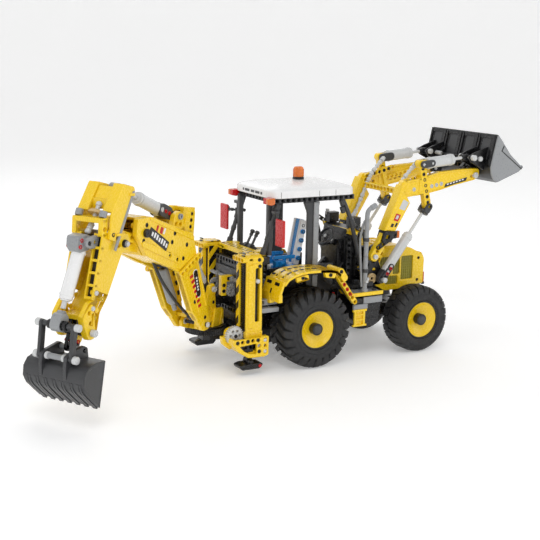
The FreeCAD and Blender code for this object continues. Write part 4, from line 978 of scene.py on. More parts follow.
def arms():
    """The two loader arms with covers, motors, shafts, marks and lamps."""
    upper = [(151, 233), (159, 217), (194, 219.5), (221, 224), (248, 230), (284, 236), (292, 240),
             (292, 250), (288, 252.5), (256, 252), (219, 250), (184, 242), (155, 239)]
    holes = [(167.5, 226), (175.5, 227.3), (206.5, 230.4), (215, 231.6), (223.5, 233), (279, 241)]
    yellow = plate(rounded(upper, 2), 46, 52, holes=holes + [(285, 242.5)])
    for a, b in zip(upper[8:12], upper[9:13]):
        yellow += plate([a, (a[0], a[1] - 2.4), (b[0], b[1] - 2.4), b], 44.6, 53.0, ease=0.5)
    for a, b in zip(upper[1:5], upper[2:6]):
        yellow += plate([a, (a[0], a[1] + 1.8), (b[0], b[1] + 1.8), b], 44.8, 53, ease=0.5)
    yellow += plate(rounded([(184, 219), (199, 220), (199, 246), (184, 243)], 1), 45, 53)
    lever = plate(capsule(TILT_BASE, LIFT_EYE, 5.2), 44.6, 53.4, holes=row((188.8, 256), (200.4, 208), 7))
    lever += plate(rounded([(180, 263), (183, 257), (193, 256), (197, 262), (195, 268), (183, 268)], 2),
                   44, 53.6)
    lever += plate(capsule((190, 246), (201, 206), 3.2), 42.4, 44.6)
    lower = beam(ARM_PIVOT, (134, 172), 7, 45, 53) + beam((134, 172), (155, 226), 6, 45.4, 52.6)
    lower += beam((150, 214), (159, 234), 6.4, 45, 53)
    lower += plate(rounded([(148, 231), (156, 216), (170, 218), (168, 238), (156, 239)], 2), 44.4, 53.4)
    inner = beam((160, 236), (206, 247), 3.8, 40.6, 44.4) + beam((138, 182), (158, 231), 3.8, 40.4, 44.2)
    inner += beam((200, 232), (262, 245), 3.6, 43.8, 46.6)
    yellow += lever + lower + inner
    yellow = both(yellow) + beam((-44, 224), (44, 224), 4, 154, 162, across="x")
    piece("arm_beams", "loader_arms", "yellow_plastic", yellow)
    cover = plate(rounded([(124, 173), (143, 171), (166.5, 209), (151.5, 233.5)], 1.2), 41, 57, ease=1.1)
    cover += plate(rounded([(127, 175), (141.6, 173.4), (163.6, 209), (151, 228.6)], 2), 56.4, 57.4, ease=0.4)
    cover += plate([(122.8, 173.5), (127.4, 173), (155.2, 228), (150.6, 235)], 42.4, 58.4, ease=0.8)
    piece("arm_covers", "loader_arms", "yellow_plastic", both(cover), replaces=["loader_arm_covers"])
    motor = plate(rounded([(120.6, 158), (136.4, 156), (144.4, 170.8), (125, 172.8)], 1.2), 42, 57,
                  windows=[rounded([(126, 161), (132, 160.4), (134, 166), (128, 167)], 1)])
    motor += plate(rounded([(136, 160), (146, 161), (147, 171), (140, 171)], 1), 44, 56, holes=[(141.6, 166)])
    motor += beam((112, 148), (132, 157), 3.4, 42, 46)
    motor += plate(capsule((201, 210), (201, 202), 4.6), 45.6, 52.4, holes=[(201, 202)])
    motor += beam((116, 150), (130, 158), 3.2, 53, 56.5)
    black = both(motor + studs([(188.8, 256), (190.7, 248), (192.7, 240), (194.6, 232), (196.6, 224),
                                (198.4, 216)], 53.4, 1, proud=0.1))
    black += both(studs(row((147, 200), (156, 226), 4), 44.2, -1, proud=0.1))
    black += both(studs(row((164, 237), (200, 245.4), 5), 40.6, -1, proud=0.1))
    label = plate(rounded([(229, 227.8), (268, 235.6), (270, 240.4), (231, 232.6)], 0.8), 51.8, 52.5,
                  ease=0.1)
    black += both(label)
    black += both(plate(rounded([(133, 178), (137, 177.2), (139.5, 181.5), (135.5, 183)], 0.6), 57.2,
                        57.7, ease=0.1))
    black += both(plate(rounded([(140, 177.6), (143, 177), (146, 182.4), (143, 183.4)], 0.6), 57.2,
                        57.7, ease=0.1))
    piece("arm_motors_and_pins", "loader_arms", "black_plastic", black, replaces=["loader_arms"])
    tags = plate(rounded([(137.8, 187), (145.6, 184.4), (150.4, 193.6), (142.6, 196.4)], 0.8), 57.2,
                 57.7, ease=0.1)
    piece("arm_tags_red", "loader_arms", "red_plastic", both(tags))
    grey = plate(rounded([(147, 202.6), (156.6, 199.4), (163.2, 210.4), (153.8, 215.4)], 0.8), 57.2,
                 57.7, ease=0.1)
    grey += plate(rounded([(140.8, 188.8), (144.6, 187.6), (147.4, 192.6), (143.6, 194)], 0.4), 57.6,
                  57.9, ease=0.1)
    grey += studs(holes[:5], 52, 1, radius=2.9, proud=0.5)
    grey += knob((285, 54.8, 242.5), (285, 50, 242.5), 4.4, 4.5)
    grey += joint_shaft([(128, 160), (139, 183), (150, 206), (160, 229)], 38.2, 3.2)
    grey += joint_shaft([(160, 229), (168, 243), (183, 258)], 38.2, 3.2)
    grey += rod((183, 38, 258), (188, 40, 262), 3.4) + axle((188, 38, 262), (188, 57, 262))
    grey += axle((285, 37, 242.5), (285, 54, 242.5))
    piece("arm_shafts", "loader_arms", "silver_plastic", both(grey))
    marks = []
    for k in range(6):
        x = 233 + 5.4 * k
        low = 228.7 + (x - 229) * 0.2 + 1.2
        marks += plate([(x, low), (x + 3.2, low + 0.64), (x + 3.4, low + 2.5), (x + 0.2, low + 1.9)],
                       52.4, 52.8, ease=0.08)
    piece("arm_marks_white", "loader_arms", "white_plastic", both(marks))
    glow = both(brick(146.8, 151.6, 49, 55.6, 161, 170.8, ease=1.0))
    piece("arm_lamps", "loader_arms", "orange_lens", glow)


def ram(name, bodies, base, eye, y, barrel, rod_run, colours, ends, matrix=ROW, pair=True, sides=8,
        replaces=()):
    """A cylinder: clevis, collar, faceted or round tube, gland, then rod and rod end."""
    def at(t, side=0.0):
        length = math.dist(base, eye)
        return (base[0] + (eye[0] - base[0]) * t / length, y + side,
                base[1] + (eye[1] - base[1]) * t / length)

    radius, start, end = barrel
    body = turned([(radius * 0.75, start), (radius, start + 0.8), (radius, end - 1),
                   (radius * 0.8, end)], at(0), at(1), sides)
    for t in (start + 4, end - 7):
        body += turned([(radius * 0.9, t), (radius * 1.09, t), (radius * 1.09, t + 2.6),
                        (radius * 0.9, t + 2.6)], at(0), at(1), sides)
    body += tube(at(end - 2), at(end + 1.2), radius * 0.72, rod_run[0] + 0.2)
    two = both if pair else list
    piece(name + "_tube", bodies[0], colours[0], two(body), matrix=matrix, replaces=replaces[:1])
    inner = rod(at(rod_run[1]), at(rod_run[2]), rod_run[0], 16)
    piece(name + "_rod", bodies[1], colours[1], two(inner), matrix=matrix, replaces=replaces[1:2])
    piece(name + "_clevis", bodies[0], colours[2], two(ends[0]), matrix=matrix)
    piece(name + "_rod_end", bodies[1], colours[3], two(ends[1]), matrix=matrix)


def along(a, b, t):
    """The point at a distance t from a towards b."""
    return lerp(a, b, t / math.dist(a, b))


def loader_rams():
    """Lift and tilt cylinders."""
    foot = plate(capsule(LIFT_BASE, along(LIFT_BASE, LIFT_EYE, 13), 6), 45, 53, holes=[LIFT_BASE])
    foot += beam(along(LIFT_BASE, LIFT_EYE, 4), along(LIFT_BASE, LIFT_EYE, 22), 4.2, 41.6, 45)
    foot += beam(along(LIFT_BASE, LIFT_EYE, 4), along(LIFT_BASE, LIFT_EYE, 22), 4.2, 53, 56.4)
    head = []
    for y in (40.5, 53.5):
        head += beam(LIFT_EYE, along(LIFT_EYE, LIFT_BASE, 6), 4.8, y, y + 4, holes=[LIFT_EYE])
    near, far = along(LIFT_EYE, LIFT_BASE, 7.8), along(LIFT_EYE, LIFT_BASE, 11.4)
    head += turned([(0, 0), (7.6, 0), (8.4, 0.8), (8.4, 2.8), (7.4, 3.6), (3.6, 3.6), (3.4, 4.6), (0, 4.6)],
                   (near[0], 49, near[1]), (far[0], 49, far[1]), 24)
    ram("lift", ("lift_barrels", "lift_rods"), LIFT_BASE, LIFT_EYE, 49, (6.9, 12, 76), (2.3, 58, 115),
        ("silver_plastic", "silver_plastic", "dark_grey_plastic", "dark_grey_plastic"), (foot, head),
        sides=10, replaces=("lift_barrels", "lift_rods"))
    pins = studs([along(LIFT_BASE, LIFT_EYE, 10), along(LIFT_BASE, LIFT_EYE, 19)], 56.4, 1, proud=0.9)
    piece("lift_pins", "lift_barrels", "red_plastic", both(pins))
    ears = beam(TILT_BASE, along(TILT_BASE, TILT_EYE, 15), 5.8, 40.6, 44, holes=[TILT_BASE])
    ears += beam(TILT_BASE, along(TILT_BASE, TILT_EYE, 15), 5.0, 54, 57.2, holes=[TILT_BASE])
    tip = plate(capsule(TILT_EYE, along(TILT_EYE, TILT_BASE, 6.5), 4.4), 46, 52, holes=[TILT_EYE])
    near, far = along(TILT_EYE, TILT_BASE, 11), along(TILT_EYE, TILT_BASE, 6)
    tip += tube((near[0], 49, near[1]), (far[0], 49, far[1]), 4.0, 2.3)
    ram("tilt", ("tilt_barrels", "tilt_rods"), TILT_BASE, TILT_EYE, 49, (7.7, 9.5, 56.4), (2.3, 36, 78),
        ("silver_plastic", "silver_plastic", "dark_grey_plastic", "black_plastic"), (ears, tip), sides=24,
        replaces=("tilt_barrels", "tilt_rods"))


def loader_bucket():
    """The loader bucket with framed back, sides, lip and lugs."""
    outer = [(304.5, 302), (293.8, 256), (295.2, 247), (299, 239), (307, 233.2), (347, 247), (354.6, 252.5)]
    inner = [(353.6, 254.4), (346, 249.8), (309, 236.6), (302, 241.5), (298.4, 248.5), (297.2, 256),
             (307.6, 301)]
    dark = plate(outer + inner, -72.4, 72.4, ease=0.5)

    def on_back(y0, y1, z0, z1, out, ease=0.3):
        lean = lambda z: 293.8 + (z - 256) * (304.5 - 293.8) / 46
        return plate([(lean(z0) - out, z0), (lean(z0) + 1.4, z0), (lean(z1) + 1.4, z1),
                      (lean(z1) - out, z1)], y0, y1, ease=ease)

    frames, panes = [], []
    cells = [(-72, -37.5), (-35.5, -1), (1, 35.5), (37.5, 72)]
    for y0, y1 in cells:
        frames += on_back(y0, y0 + 3.2, 259, 301, 3.2) + on_back(y1 - 3.2, y1, 259, 301, 3.2)
        frames += on_back(y0 + 3.2, y1 - 3.2, 259, 264, 2.2) + on_back(y0 + 3.2, y1 - 3.2, 296, 301, 2.2)
        frames += on_back(y0 + 3.2, y0 + 9, 264, 296, 1.6) + on_back(y1 - 7, y1 - 3.2, 264, 296, 1.0)
        panes += on_back(y0 + 9, y1 - 7, 265, 295, 0.6)
    frames += on_back(-73, 73, 299.4, 301.6, 2.6) + on_back(-73, 73, 256.4, 259.6, 2.6)
    piece("bucket_frames", "loader_bucket", "black_plastic", frames)
    piece("bucket_shell", "loader_bucket", "dark_grey_plastic", dark + panes)
    cheek = rounded(outer + [(330, 272), (312, 294)], 2)
    sides = plate(cheek, 72, 74.8, ease=0.6)
    sides += plate(rounded([(312.6, 292.6), (317.5, 285.5), (314.5, 279.5), (352, 253.6), (354.4, 252.8),
                            (330, 272.4)], 1), 74.2, 75, ease=0.25)
    lip = plate(rounded([(351, 250.2), (355.0, 252.8), (354.4, 256.4), (350.6, 253.8)], 0.8), -74.8,
                74.8, ease=0.4)
    piece("bucket_sides", "loader_bucket", "light_grey_plastic", both(sides) + lip,
          replaces=["loader_bucket"])
    edge = plate([(315.4, 286.4), (317.2, 285.2), (313.6, 278.6), (352.6, 251.6), (351.8, 250.4),
                  (311.4, 278.4)], 74, 75.0, ease=0.1)
    lugs = plate(rounded([(277.5, 238), (296, 236), (299, 262), (294, 258), (279, 249)], 1.5), 37.5,
                 43.3, holes=[ARM_TIP])
    ear = rounded([(264.4, 271), (269, 262.5), (294, 250), (301, 284), (276, 276.4)], 1.5)
    for y0, y1 in ((57.7, 60.4), (37.6, 40.4)):
        lugs += plate(ear, y0, y1, holes=[TILT_EYE, (284, 267), (292, 264)])
    bars = beam((-58, 264), (58, 264), 3.8, 284, 291, across="x")
    bars += beam((-36, 254), (36, 254), 3.8, 288, 295, across="x")
    bars += both(beam((276, 252), (296, 272), 3.8, 31, 37))
    piece("bucket_lugs", "loader_bucket", "black_plastic", both(edge + lugs) + bars)
    pins = axle((271, 37.8, 269), (271, 45.4, 269))
    pins += axle((271, 52.6, 269), (271, 62, 269))
    pins += knob((271, 66.5, 269), (271, 60, 269), 4.2, 6.4)
    pins += knob((284, 64.4, 267), (284, 60, 267), 3.6, 4.2)
    pins += rod((284, 26, 267), (284, 37.5, 267), 3.0)
    pins += bush((284, 40, 267), (284, 58, 267), 3, 9)
    pins += knob((271, 33.4, 269), (271, 40, 269), 4.0, 4.4)
    piece("bucket_pins", "loader_bucket", "silver_plastic", both(pins))


pedestals()
arms()
loader_rams()
loader_bucket()


# ---------------------------------------------------------------- stabilisers
TOWER_STRIPE = striped("hazard_stripes", YELLOW, BLACK, (-0.8, 0.62, 0.62), 12.5, 0.5, rough=0.26, coat=0.25)
CAP_STRIPE = striped("cap_stripes", YELLOW, BLACK, (1.0, 0.8, 0.0), 9, 0.4, rough=0.26, coat=0.25)


def towers():
    """The striped towers that guide the stabiliser legs."""
    yellow, black, stripe, caps = [], [], [], []
    slot_window = rounded(rect(-86.6, -80.4, 70, 141), 2.6)
    yellow += plate(rounded([(-100, 49), (-77, 49), (-76, 64), (-77, 150), (-79, 157), (-97, 158),
                             (-100, 152)], 2), 66, 69.6, windows=[slot_window], ease=0.7)
    yellow += plate(rounded([(-97.4, 62), (-90, 62), (-90, 146), (-97.4, 146)], 1.5), 69, 70.8, ease=0.7)
    yellow += brick(-79.8, -77, 46, 69, 49, 150)
    yellow += plate(rounded([(-97, 49), (-77, 49), (-77, 155), (-97, 155)], 2), 42, 46, windows=[slot_window])
    yellow += plate(rounded([(48, 62), (54.4, 62), (54.4, 157), (48, 157)], 1.2), -103, -98,
                    across="x", ease=0.5)
    yellow += plate(rounded([(42.4, 150), (69.6, 150), (69.6, 155.4), (64, 158), (48, 158),
                             (42.4, 156)], 1.5), -99.4, -76.6, across="x",
                    holes=[(52.6, 153.6), (61.6, 153.6)], ease=0.7)
    yellow += plate(rounded([(-118, 46), (-98, 46), (-98, 60), (-112, 60), (-118, 56)], 3), 42, 47.8,
                    holes=[(-112, 53), (-104, 53)])
    yellow += plate(capsule((-96, 152), (-80, 152), 4.4), 69, 70.6, holes=[(-94, 152), (-82, 152)])
    yellow += beam((45, 152.6), (67, 152.6), 3.6, -106, -98.5, across="x")
    black += studs([(52.6, 153.6), (61.6, 153.6)], -99.6, -1, across="x", radius=2.6, proud=0.1)
    black += studs([(-82, 152), (-81, 143.5)], 70.6, 1, proud=0.1) + brick(-99.6, -96.6, 54, 66, 58, 150)
    for z in range(60, 150, 3):
        black += brick(-101, -99, 55.6, 64.6, z + 0.2, z + 1.6, ease=0.3)
    stripe += brick(-103.8, -102.6, 48.4, 54.2, 64, 150, ease=0.3, across="x")
    stripe += brick(-97, -81.4, 41.2, 42.2, 62, 152, ease=0.3)
    black += studs([(-79.2, z) for z in range(68, 152, 8)], 42, -1, radius=1.9, proud=0.1)
    stripe += brick(-77.2, -76.2, 48, 64, 60, 146, ease=0.3, across="x")
    caps += plate(rounded([(-99, 43), (-78, 43), (-78, 51), (-99, 51)], 2), 157.4, 158.6, across="z",
                  ease=0.3)
    foot = plate(rounded([(-101, 49), (-76, 49), (-76, 58), (-101, 58)], 1.5), 64.6, 70.6,
                 holes=[(-96, 53.5), (-88, 53.5), (-80.5, 53.5)])
    yellow += foot
    piece("tower_shells", "chassis", "yellow_plastic", both(yellow), replaces=["stabiliser_towers"])
    piece("tower_racks_and_pins", "chassis", "black_plastic", both(black))
    piece("tower_stripes", "chassis", "yellow_plastic", both(stripe), paint=TOWER_STRIPE)
    piece("tower_caps", "chassis", "yellow_plastic", both(caps), paint=CAP_STRIPE)
    link = brick(-80, -48, 52, 60, 88, 96, holes=[(-70, 92), (-60, 92)]) + axle((-84, 48, 74), (-84, 62, 74))
    piece("tower_links", "chassis", "light_grey_plastic", both(link))


def legs():
    """Stabiliser legs with their brackets, rack gears and pads."""
    for name, hand in (("left", 1), ("right", -1)):
        turn = (lambda parts: parts) if hand > 0 else mirrored
        body = "stabiliser_leg_" + name
        skirt = [(-70.5, 51), (-70.5, 28), (-80, 24.4), (-100, 25.2), (-114, 34), (-122.4, 45.6), (-120, 51)]
        opening = [(-112.5, 41.5), (-106, 34.6), (-98, 30.6), (-88, 29.4), (-88, 43.4)]
        yellow = plate(rounded(skirt, 3), 73.4, 77.6, windows=[rounded(opening, 1.5)], ease=0.7,
                       holes=[(-116, 47), (-108.5, 47), (-101, 47.4), (-93.5, 47.6), (-86, 47.8),
                              (-84, 40), (-84, 32.4), (-76, 47), (-76, 39.5), (-76, 32)])
        yellow += plate(rounded([(-79.6, 52), (-70.2, 52), (-70.2, 26.6), (-79.6, 24)], 2), 70.5, 78,
                        holes=[(-75, 47.5), (-75, 39.5), (-75, 31.5)])
        curve = [(-121, 51), (-121.6, 44.6), (-113, 33.2), (-99, 25.2), (-80, 24.4), (-80, 28),
                 (-98, 28.8), (-110.4, 35.8), (-118, 46), (-117.6, 51)]
        yellow += plate(rounded(curve, 1.5), 56, 77, ease=0.6)
        yellow += plate(rounded([(-128, 51.5), (-126, 41), (-116, 33), (-112, 37), (-120, 45),
                                 (-121, 51.5)], 1.5), 49, 57, ease=0.6)
        yellow += brick(-98.2, -81, 47, 72, 24.4, 33, ease=0.6)
        piece("leg_bracket_" + name, body, "yellow_plastic", turn(yellow))
        stem = brick(-98, -81, 47, 65.4, 30, 145, ease=0.8)
        teeth = []
        for k in range(38):
            z = 53 + math.pi * (k - 3)
            teeth += plate([(-98.6, z - 1.0), (-100.7, z - 0.35), (-100.7, z + 0.35),
                            (-98.6, z + 1.0)], 56.2, 63.8, ease=0.15)
        inner = plate(rounded([(-112, 44), (-90, 44), (-90, 31), (-100, 31), (-108, 36)], 1.5), 60,
                      72, holes=[(-94, 38), (-102, 38)])
        inner += studs([(-116, 47), (-101, 47.4), (-86, 47.8), (-84, 32.4)], 77.6, 1, proud=0.1)
        inner += plate(capsule((-94, 27), (-94, 18.5), 4), 62.4, 69.6, holes=[(-94, 18.5)])
        piece("leg_stem_" + name, body, "black_plastic", turn(stem + teeth + inner),
              replaces=["stabiliser_leg_" + name])
        silver = knob((-83.5, 71.6, 124), (-83.5, 66, 124), 2.9, 5.5)
        silver += knob((-76, 79, 47), (-76, 76, 47), 2.3, 2.0, 0.3)
        silver += knob((-76, 79, 32), (-76, 76, 32), 2.3, 2.0, 0.3)
        piece("leg_pins_" + name, body, "silver_plastic", turn(silver))

        centre = (-112, 53)
        loop = []
        for k in range(24):
            middle = math.radians(15 * (k + 0.5))
            for r, half in ((10.75, -1.0), (12, -0.55), (12.7, -0.25), (12.7, 0.25), (12, 0.55),
                            (10.75, 1.0)):
                loop.append((centre[0] + r * math.cos(middle + half / r),
                             centre[1] + r * math.sin(middle + half / r)))
        wheel_parts = plate(loop, 57, 63, windows=[circle(centre, 2.2, 12)]
                            + [circle(p, 1.9, 10) for p in circle(centre, 6.6, 6)], ease=0.25)
        wheel_parts += tube((-112, 48.4, 53), (-112, 57.4, 53), 4.9, 2.3)
        wheel_parts += tube((-112, 62.6, 53), (-112, 64.4, 53), 4.4, 2.3)
        piece("rack_gear_" + name, "pinion_" + name, "silver_plastic", turn(wheel_parts))
        shaft = axle((-112, 42, 53), (-112, 66, 53))
        piece("rack_gear_shaft_" + name, "pinion_" + name, "black_plastic", turn(shaft),
              replaces=["pinion_" + name])
        sole = plate(rounded([(-110.6, 12.4), (-106.6, 8.6), (-81.4, 8.6), (-77.4, 12.4), (-77.4, 15.4),
                              (-84, 16.6), (-104, 16.6), (-110.6, 15)], 1), 56.4, 75.6, ease=0.7)
        for x in (-102, -94, -86):
            sole += stud((x, 12.6), 75.6, 1, radius=2.2, proud=0.3)
        sole += rod((-94, 57, 18.5), (-94, 75.6, 18.5), 2.3)
        for y0, y1 in ((57.6, 61.8), (70.2, 74.4)):
            sole += plate(capsule((-94, 18.5), (-94, 13), 3.7), y0, y1, holes=[(-94, 18.5)])
        piece("pad_sole_" + name, "stabiliser_pad_" + name, "black_plastic", turn(sole),
              replaces=["stabiliser_pad_" + name])
        red = knob((-81.5, 76.6, 12.4), (-81.5, 74, 12.4), 2.3, 2.2, 0.3)
        piece("pad_pin_" + name, "stabiliser_pad_" + name, "red_plastic", turn(red))


towers()
legs()


# ---------------------------------------------------------------- backhoe, in (reach, side, height)
BOOM_CYL_BASE, BOOM_CYL_EYE = (6, 106), (62, 190)
DIPPER_BASE, DIPPER_EYE = (86, 213), (194, 260)
# the bucket cylinder's base stands 12 mm nearer the stick than the CAD barrel's, as in the photograph
BUCKET_CYL_BASE, ROCKER_PIVOT, UPPER_AXLE = (256, 204), (269, 107), (297, 119)
LOWER_AXLE, BUCKET_PIVOT, BUCKET_HALF = (302, 84), (276, 88), 43.5


def hoe(name, body, slot, parts, **how):
    """A piece whose parts are given in the backhoe's plane."""
    return piece(name, body, slot, parts, matrix=HOE, **how)


def turret():
    """The toothed swing ring and the swing post."""
    loop = []
    for k in range(60):
        for r, half in ((27, -0.8), (28.4, -0.4), (28.4, 0.4), (27, 0.8)):
            turn = math.radians(6 * k) + half / r
            loop.append((r * math.cos(turn), r * math.sin(turn)))
    ring = plate(loop, 46.2, 54, across="z", windows=[circle((0, 0), 4.1, 20)]
                 + [circle(p, 3.4, 12) for p in circle((0, 0), 15, 8)], ease=0.4)
    hoe("swing_ring", "swing_post", "black_plastic", ring
        + tube((0, 0, 53.6), (0, 0, 56), 24.6, 19, 48), replaces=["swing_gear"])
    cheek = rounded([(-12, 54.6), (30, 54.6), (43, 60), (44, 68), (36, 74), (22, 84), (14, 112), (2, 113),
                     (0, 100), (-2, 80), (-12, 74)], 2)
    post = both(plate(cheek, 9.4, 14, holes=[(-7, 60), (-7, 68), (1, 60), (9, 60), (4, 72), (4, 88),
                                             (6, 106), (12, 82), (36, 66), (24, 62)]))
    post += both(plate(rounded([(-14, 54.4), (12, 54.4), (5, 80), (-14, 78)], 2), 14, 18, ease=0.8))
    post += plate(rounded([(8, 55), (30, 55), (24, 63), (8, 66)], 1.5), -9, 9)
    post += both(plate(rounded([(-13, 56), (-4, 56), (-9, 77), (-13, 76)], 1), 18, 19.2, ease=0.5))
    hoe("turret_brackets", "swing_post", "yellow_plastic", post)
    dark = tube((0, 0, 54.2), (0, 0, 81.4), 6.4, 4.1, 28)
    dark += axle((36, -25, 66), (36, 25, 66))
    dark += axle((6, -16, 106), (6, 16, 106))
    dark += both(studs([(-7, 60), (-7, 68), (1, 60), (9, 60), (4, 88)], 14, 1, proud=0.2))
    hoe("turret_core", "swing_post", "black_plastic", dark, replaces=["swing_post"])
    pale = both(bush((6, 12, 106), (6, 18, 106), 2.4, 6, 3.6))
    pale += both(knob((36, 27.6, 66), (36, 24, 66), 3.4, 3.2))
    pale += both(bush((36, 8, 66), (36, 18, 66), 0.6, 7, 4.2))
    hoe("turret_bushes", "swing_post", "silver_plastic", pale)


def boom():
    """The boom's panels, pins, label blocks, inner cylinder and hose glands."""
    lower = rounded([(30, 58), (42, 58), (56, 74), (70, 89), (98, 146), (120, 156), (128, 170),
                     (100, 190), (66, 190), (60, 163), (34, 93), (27, 68)], 2.5)
    lower_holes = [(36, 66), (38, 76), (44, 88), (48, 97), (62, 101), (80, 146), (72, 153), (63, 153),
                   (66, 178), (74, 184)]
    upper = rounded([(60, 163), (96, 149), (124, 157), (166, 177), (186, 205), (183, 223), (157, 222),
                     (108, 202), (68, 191)], 2)
    upper_holes = [(165.6, 214), (108, 196), (114, 186), (120, 172), (104, 164), (168, 204.8), (172, 196),
                   (82, 178), (90, 162)]
    yellow = both(plate(lower, 17, 23, holes=lower_holes) + plate(upper, 17.6, 24, holes=upper_holes))
    yellow += both(plate(rounded([(118, 189), (161, 213.6), (169, 199), (126, 172)], 2), 23.6, 24.6,
                         ease=0.5))
    yellow += both(plate(rounded([(40, 84), (52, 80), (78, 142), (64, 146)], 4), 22.6, 24.2, ease=0.6))
    yellow += both(beam((100, 161), (172, 192), 3.9, 24, 25.2, holes=[(104, 163), (120, 170)]))
    yellow += both(plate(rounded([(66, 186), (104, 203), (158, 223), (160, 219), (108, 198), (70, 182)],
                                 1), 16, 25, ease=0.6))
    yellow += both(plate(rounded([(34, 92), (60, 163), (63.5, 162), (38, 91)], 1), 15.4, 24.4, ease=0.5))
    yellow += both(plate(rounded([(56, 74), (70, 89), (98, 146), (94.6, 147.4), (67, 91), (53.5, 76.4)],
                                 1), 15.4, 24.4, ease=0.5))
    post = rounded([(98, 152), (66, 160), (55, 182), (51, 215), (55, 221), (66, 222), (76, 200),
                    (100, 190)], 2)
    yellow += both(plate(post, 8.6, 15.6, holes=[(58, 213), (60, 205), (61.6, 197), (63, 189), (64, 181),
                                                 (66, 173), (69, 165), (62, 190)]))
    yellow += brick(51, 57, -15, 15, 206, 220, across="x", holes=[(-6, 213), (6, 213)])
    yellow += both(plate(rounded([(140, 182), (166, 180), (206, 188), (216, 196), (214, 207), (206, 209),
                                  (180, 206), (140, 204)], 3), 6.2, 12,
                         holes=[(148, 193), (156, 193), (172, 194), (180, 195), (190, 196), (206, 198)]))
    yellow += both(plate(rounded([(176, 203), (204, 213), (212, 207), (206, 200), (180, 194)], 2), 12,
                         16, holes=[(184, 201), (196, 206)]))
    yellow += both(plate(rounded([(74, 192), (102, 200), (96, 216), (86, 220), (78, 216)], 2), 9,
                         15.6, holes=[(86, 213), (84, 203), (93, 205)]))
    yellow += brick(124, 136, -16, 16, 170.4, 181.6) + brick(40.2, 45.8, -16, 16, 74.2, 78.8)
    yellow += plate([(104, 196.5), (158, 219), (178, 220.6), (180, 224), (157, 223), (104, 200)], -16,
                    16, ease=0.6)
    yellow += plate(rounded([(118, 157), (166, 177), (180, 198), (176, 198.6), (163, 180), (116, 160)],
                            1), -16, 16, ease=0.6)
    yellow += both(beam((58, 161), (96, 144), 3.6, 24, 27.6))
    yellow += both(beam((98, 196), (178, 214), 3.6, 12.2, 16))
    hoe("boom_panels", "boom", "yellow_plastic", yellow, replaces=["boom_frame", "boom_covers"])
    dark = both(studs(upper_holes[:5] + upper_holes[6:], 24, 1, radius=2.6, proud=0.1))
    dark += both(studs(lower_holes[1:], 23, 1, radius=2.4, proud=0.2))
    dark += both(studs([(58, 213), (60, 205), (61.6, 197), (63, 189), (64, 181), (66, 173),
                        (69, 165)], 15.6, 1, radius=2.2, proud=0.1))
    dark += both(plate(rounded([(121.6, 187.2), (158.6, 211.2), (165.2, 201.0), (128.4, 177.0)], 0.8),
                       24.4, 25, ease=0.1))
    dark += both(plate(capsule((55.8, 111.2), (63.2, 138.3), 4.4), 24.2, 24.8, ease=0.1))
    dark += both(knob((168, 28, 204.8), (168, 22, 204.8), 5.2, 5.5, 0.2))
    dark += studs([(-6, 213), (6, 213)], 51, -1, across="x", proud=0.1)
    dark += rod((95, 4, 147), (68, 4, 89), 2.6)
    dark += both(beam((108, 176), (156, 204), 3.6, 12.4, 16)) + rod((146, -12, 196), (146, 12, 196), 6.4, 24)
    dark += both(plate(rounded([(130, 178), (144, 176), (146, 186), (132, 188)], 1), 6, 12))
    dark += axle((93, -16, 150), (93, 16, 150))
    dark += both(tube((206, 16, 198), (206, 24, 198), 4.6, 2.4)) + axle((206, -24, 198), (206, 24, 198))
    for t in (0.2, 0.4, 0.6, 0.8):
        a, b = lerp((36.5, 92), (61.5, 161), t), lerp((54.6, 75.5), (69, 90.5), t)
        dark += both(plate(rounded([(a[0] - 2, a[1] - 4), (a[0] + 1.4, a[1] - 5), (a[0] + 3.4, a[1] + 1),
                                    (a[0], a[1] + 2.4)], 0.8), 15.2, 16.4, ease=0.2))
    hoe("boom_pins_and_plates", "boom", "black_plastic", dark)
    red = both(plate(rounded([(132.8, 206.2), (137, 208), (140.4, 200.8), (136.2, 198.8)], 0.6), 24,
                     24.7, ease=0.1))
    red += both(plate(rounded([(141.8, 210), (144.6, 211.2), (148.4, 204.6), (145.6, 203.2)], 0.6),
                      24, 24.7, ease=0.1))
    for u, z in row((72.5, 137), (53.5, 96), 7):
        red += both(plate(rounded([(u - 4.4, z - 2.0), (u + 2.0, z - 4.2), (u + 3.4, z - 0.4),
                                   (u - 3.0, z + 1.8)], 0.5), 24, 24.6, ease=0.1))
    hoe("boom_marks_red", "boom", "red_plastic", red)
    white = both(plate(capsule((55.6, 110.5), (63.4, 139), 4.9), 24, 24.5, ease=0.1))
    for t in (0.1, 0.3, 0.5, 0.7, 0.9):
        u, z = lerp((57, 115), (62, 134.6), t)
        white += both(plate([(u - 1.7, z - 1.3), (u + 1.3, z - 2.0), (u + 1.9, z + 0.4),
                             (u - 1.1, z + 1.1)], 24.6, 25, ease=0.08))
    for k in range(7):
        u, z = lerp((129.6, 182.2), (157.4, 200.4), k / 6)
        high = 6.4 if k % 3 else 5.0
        white += both(plate([(u - 1.4, z - 1.2), (u + 1.2, z + 0.5),
                             (u + 1.2 - 0.54 * high, z + 0.5 + 0.84 * high),
                             (u - 1.4 - 0.54 * high, z - 1.2 + 0.84 * high)], 24.9, 25.3, ease=0.08))
    white += both(plate(rounded([(127.6, 204.6), (130.4, 205.8), (134, 199.4), (131.2, 198)], 0.6),
                        24, 24.7, ease=0.1))
    hoe("boom_plates_white", "boom", "white_plastic", white)
    pale = turned([(0, 0), (5.2, 0), (6.8, 3), (6.8, 50), (5.2, 53), (3, 54), (3, 64), (0, 64)],
                  (95, 4, 147), (68, 4, 89), 24)
    pale += both(bush((86, 8, 213), (86, 16, 213), 7, 10.5, 3.6))
    pale += both(knob((206, 27, 198), (206, 22, 198), 3.4, 3))
    pale += both(rod((62, 6.9, 190), (62, 10, 190), 2.3)) + axle((86, -12, 213), (86, 12, 213))
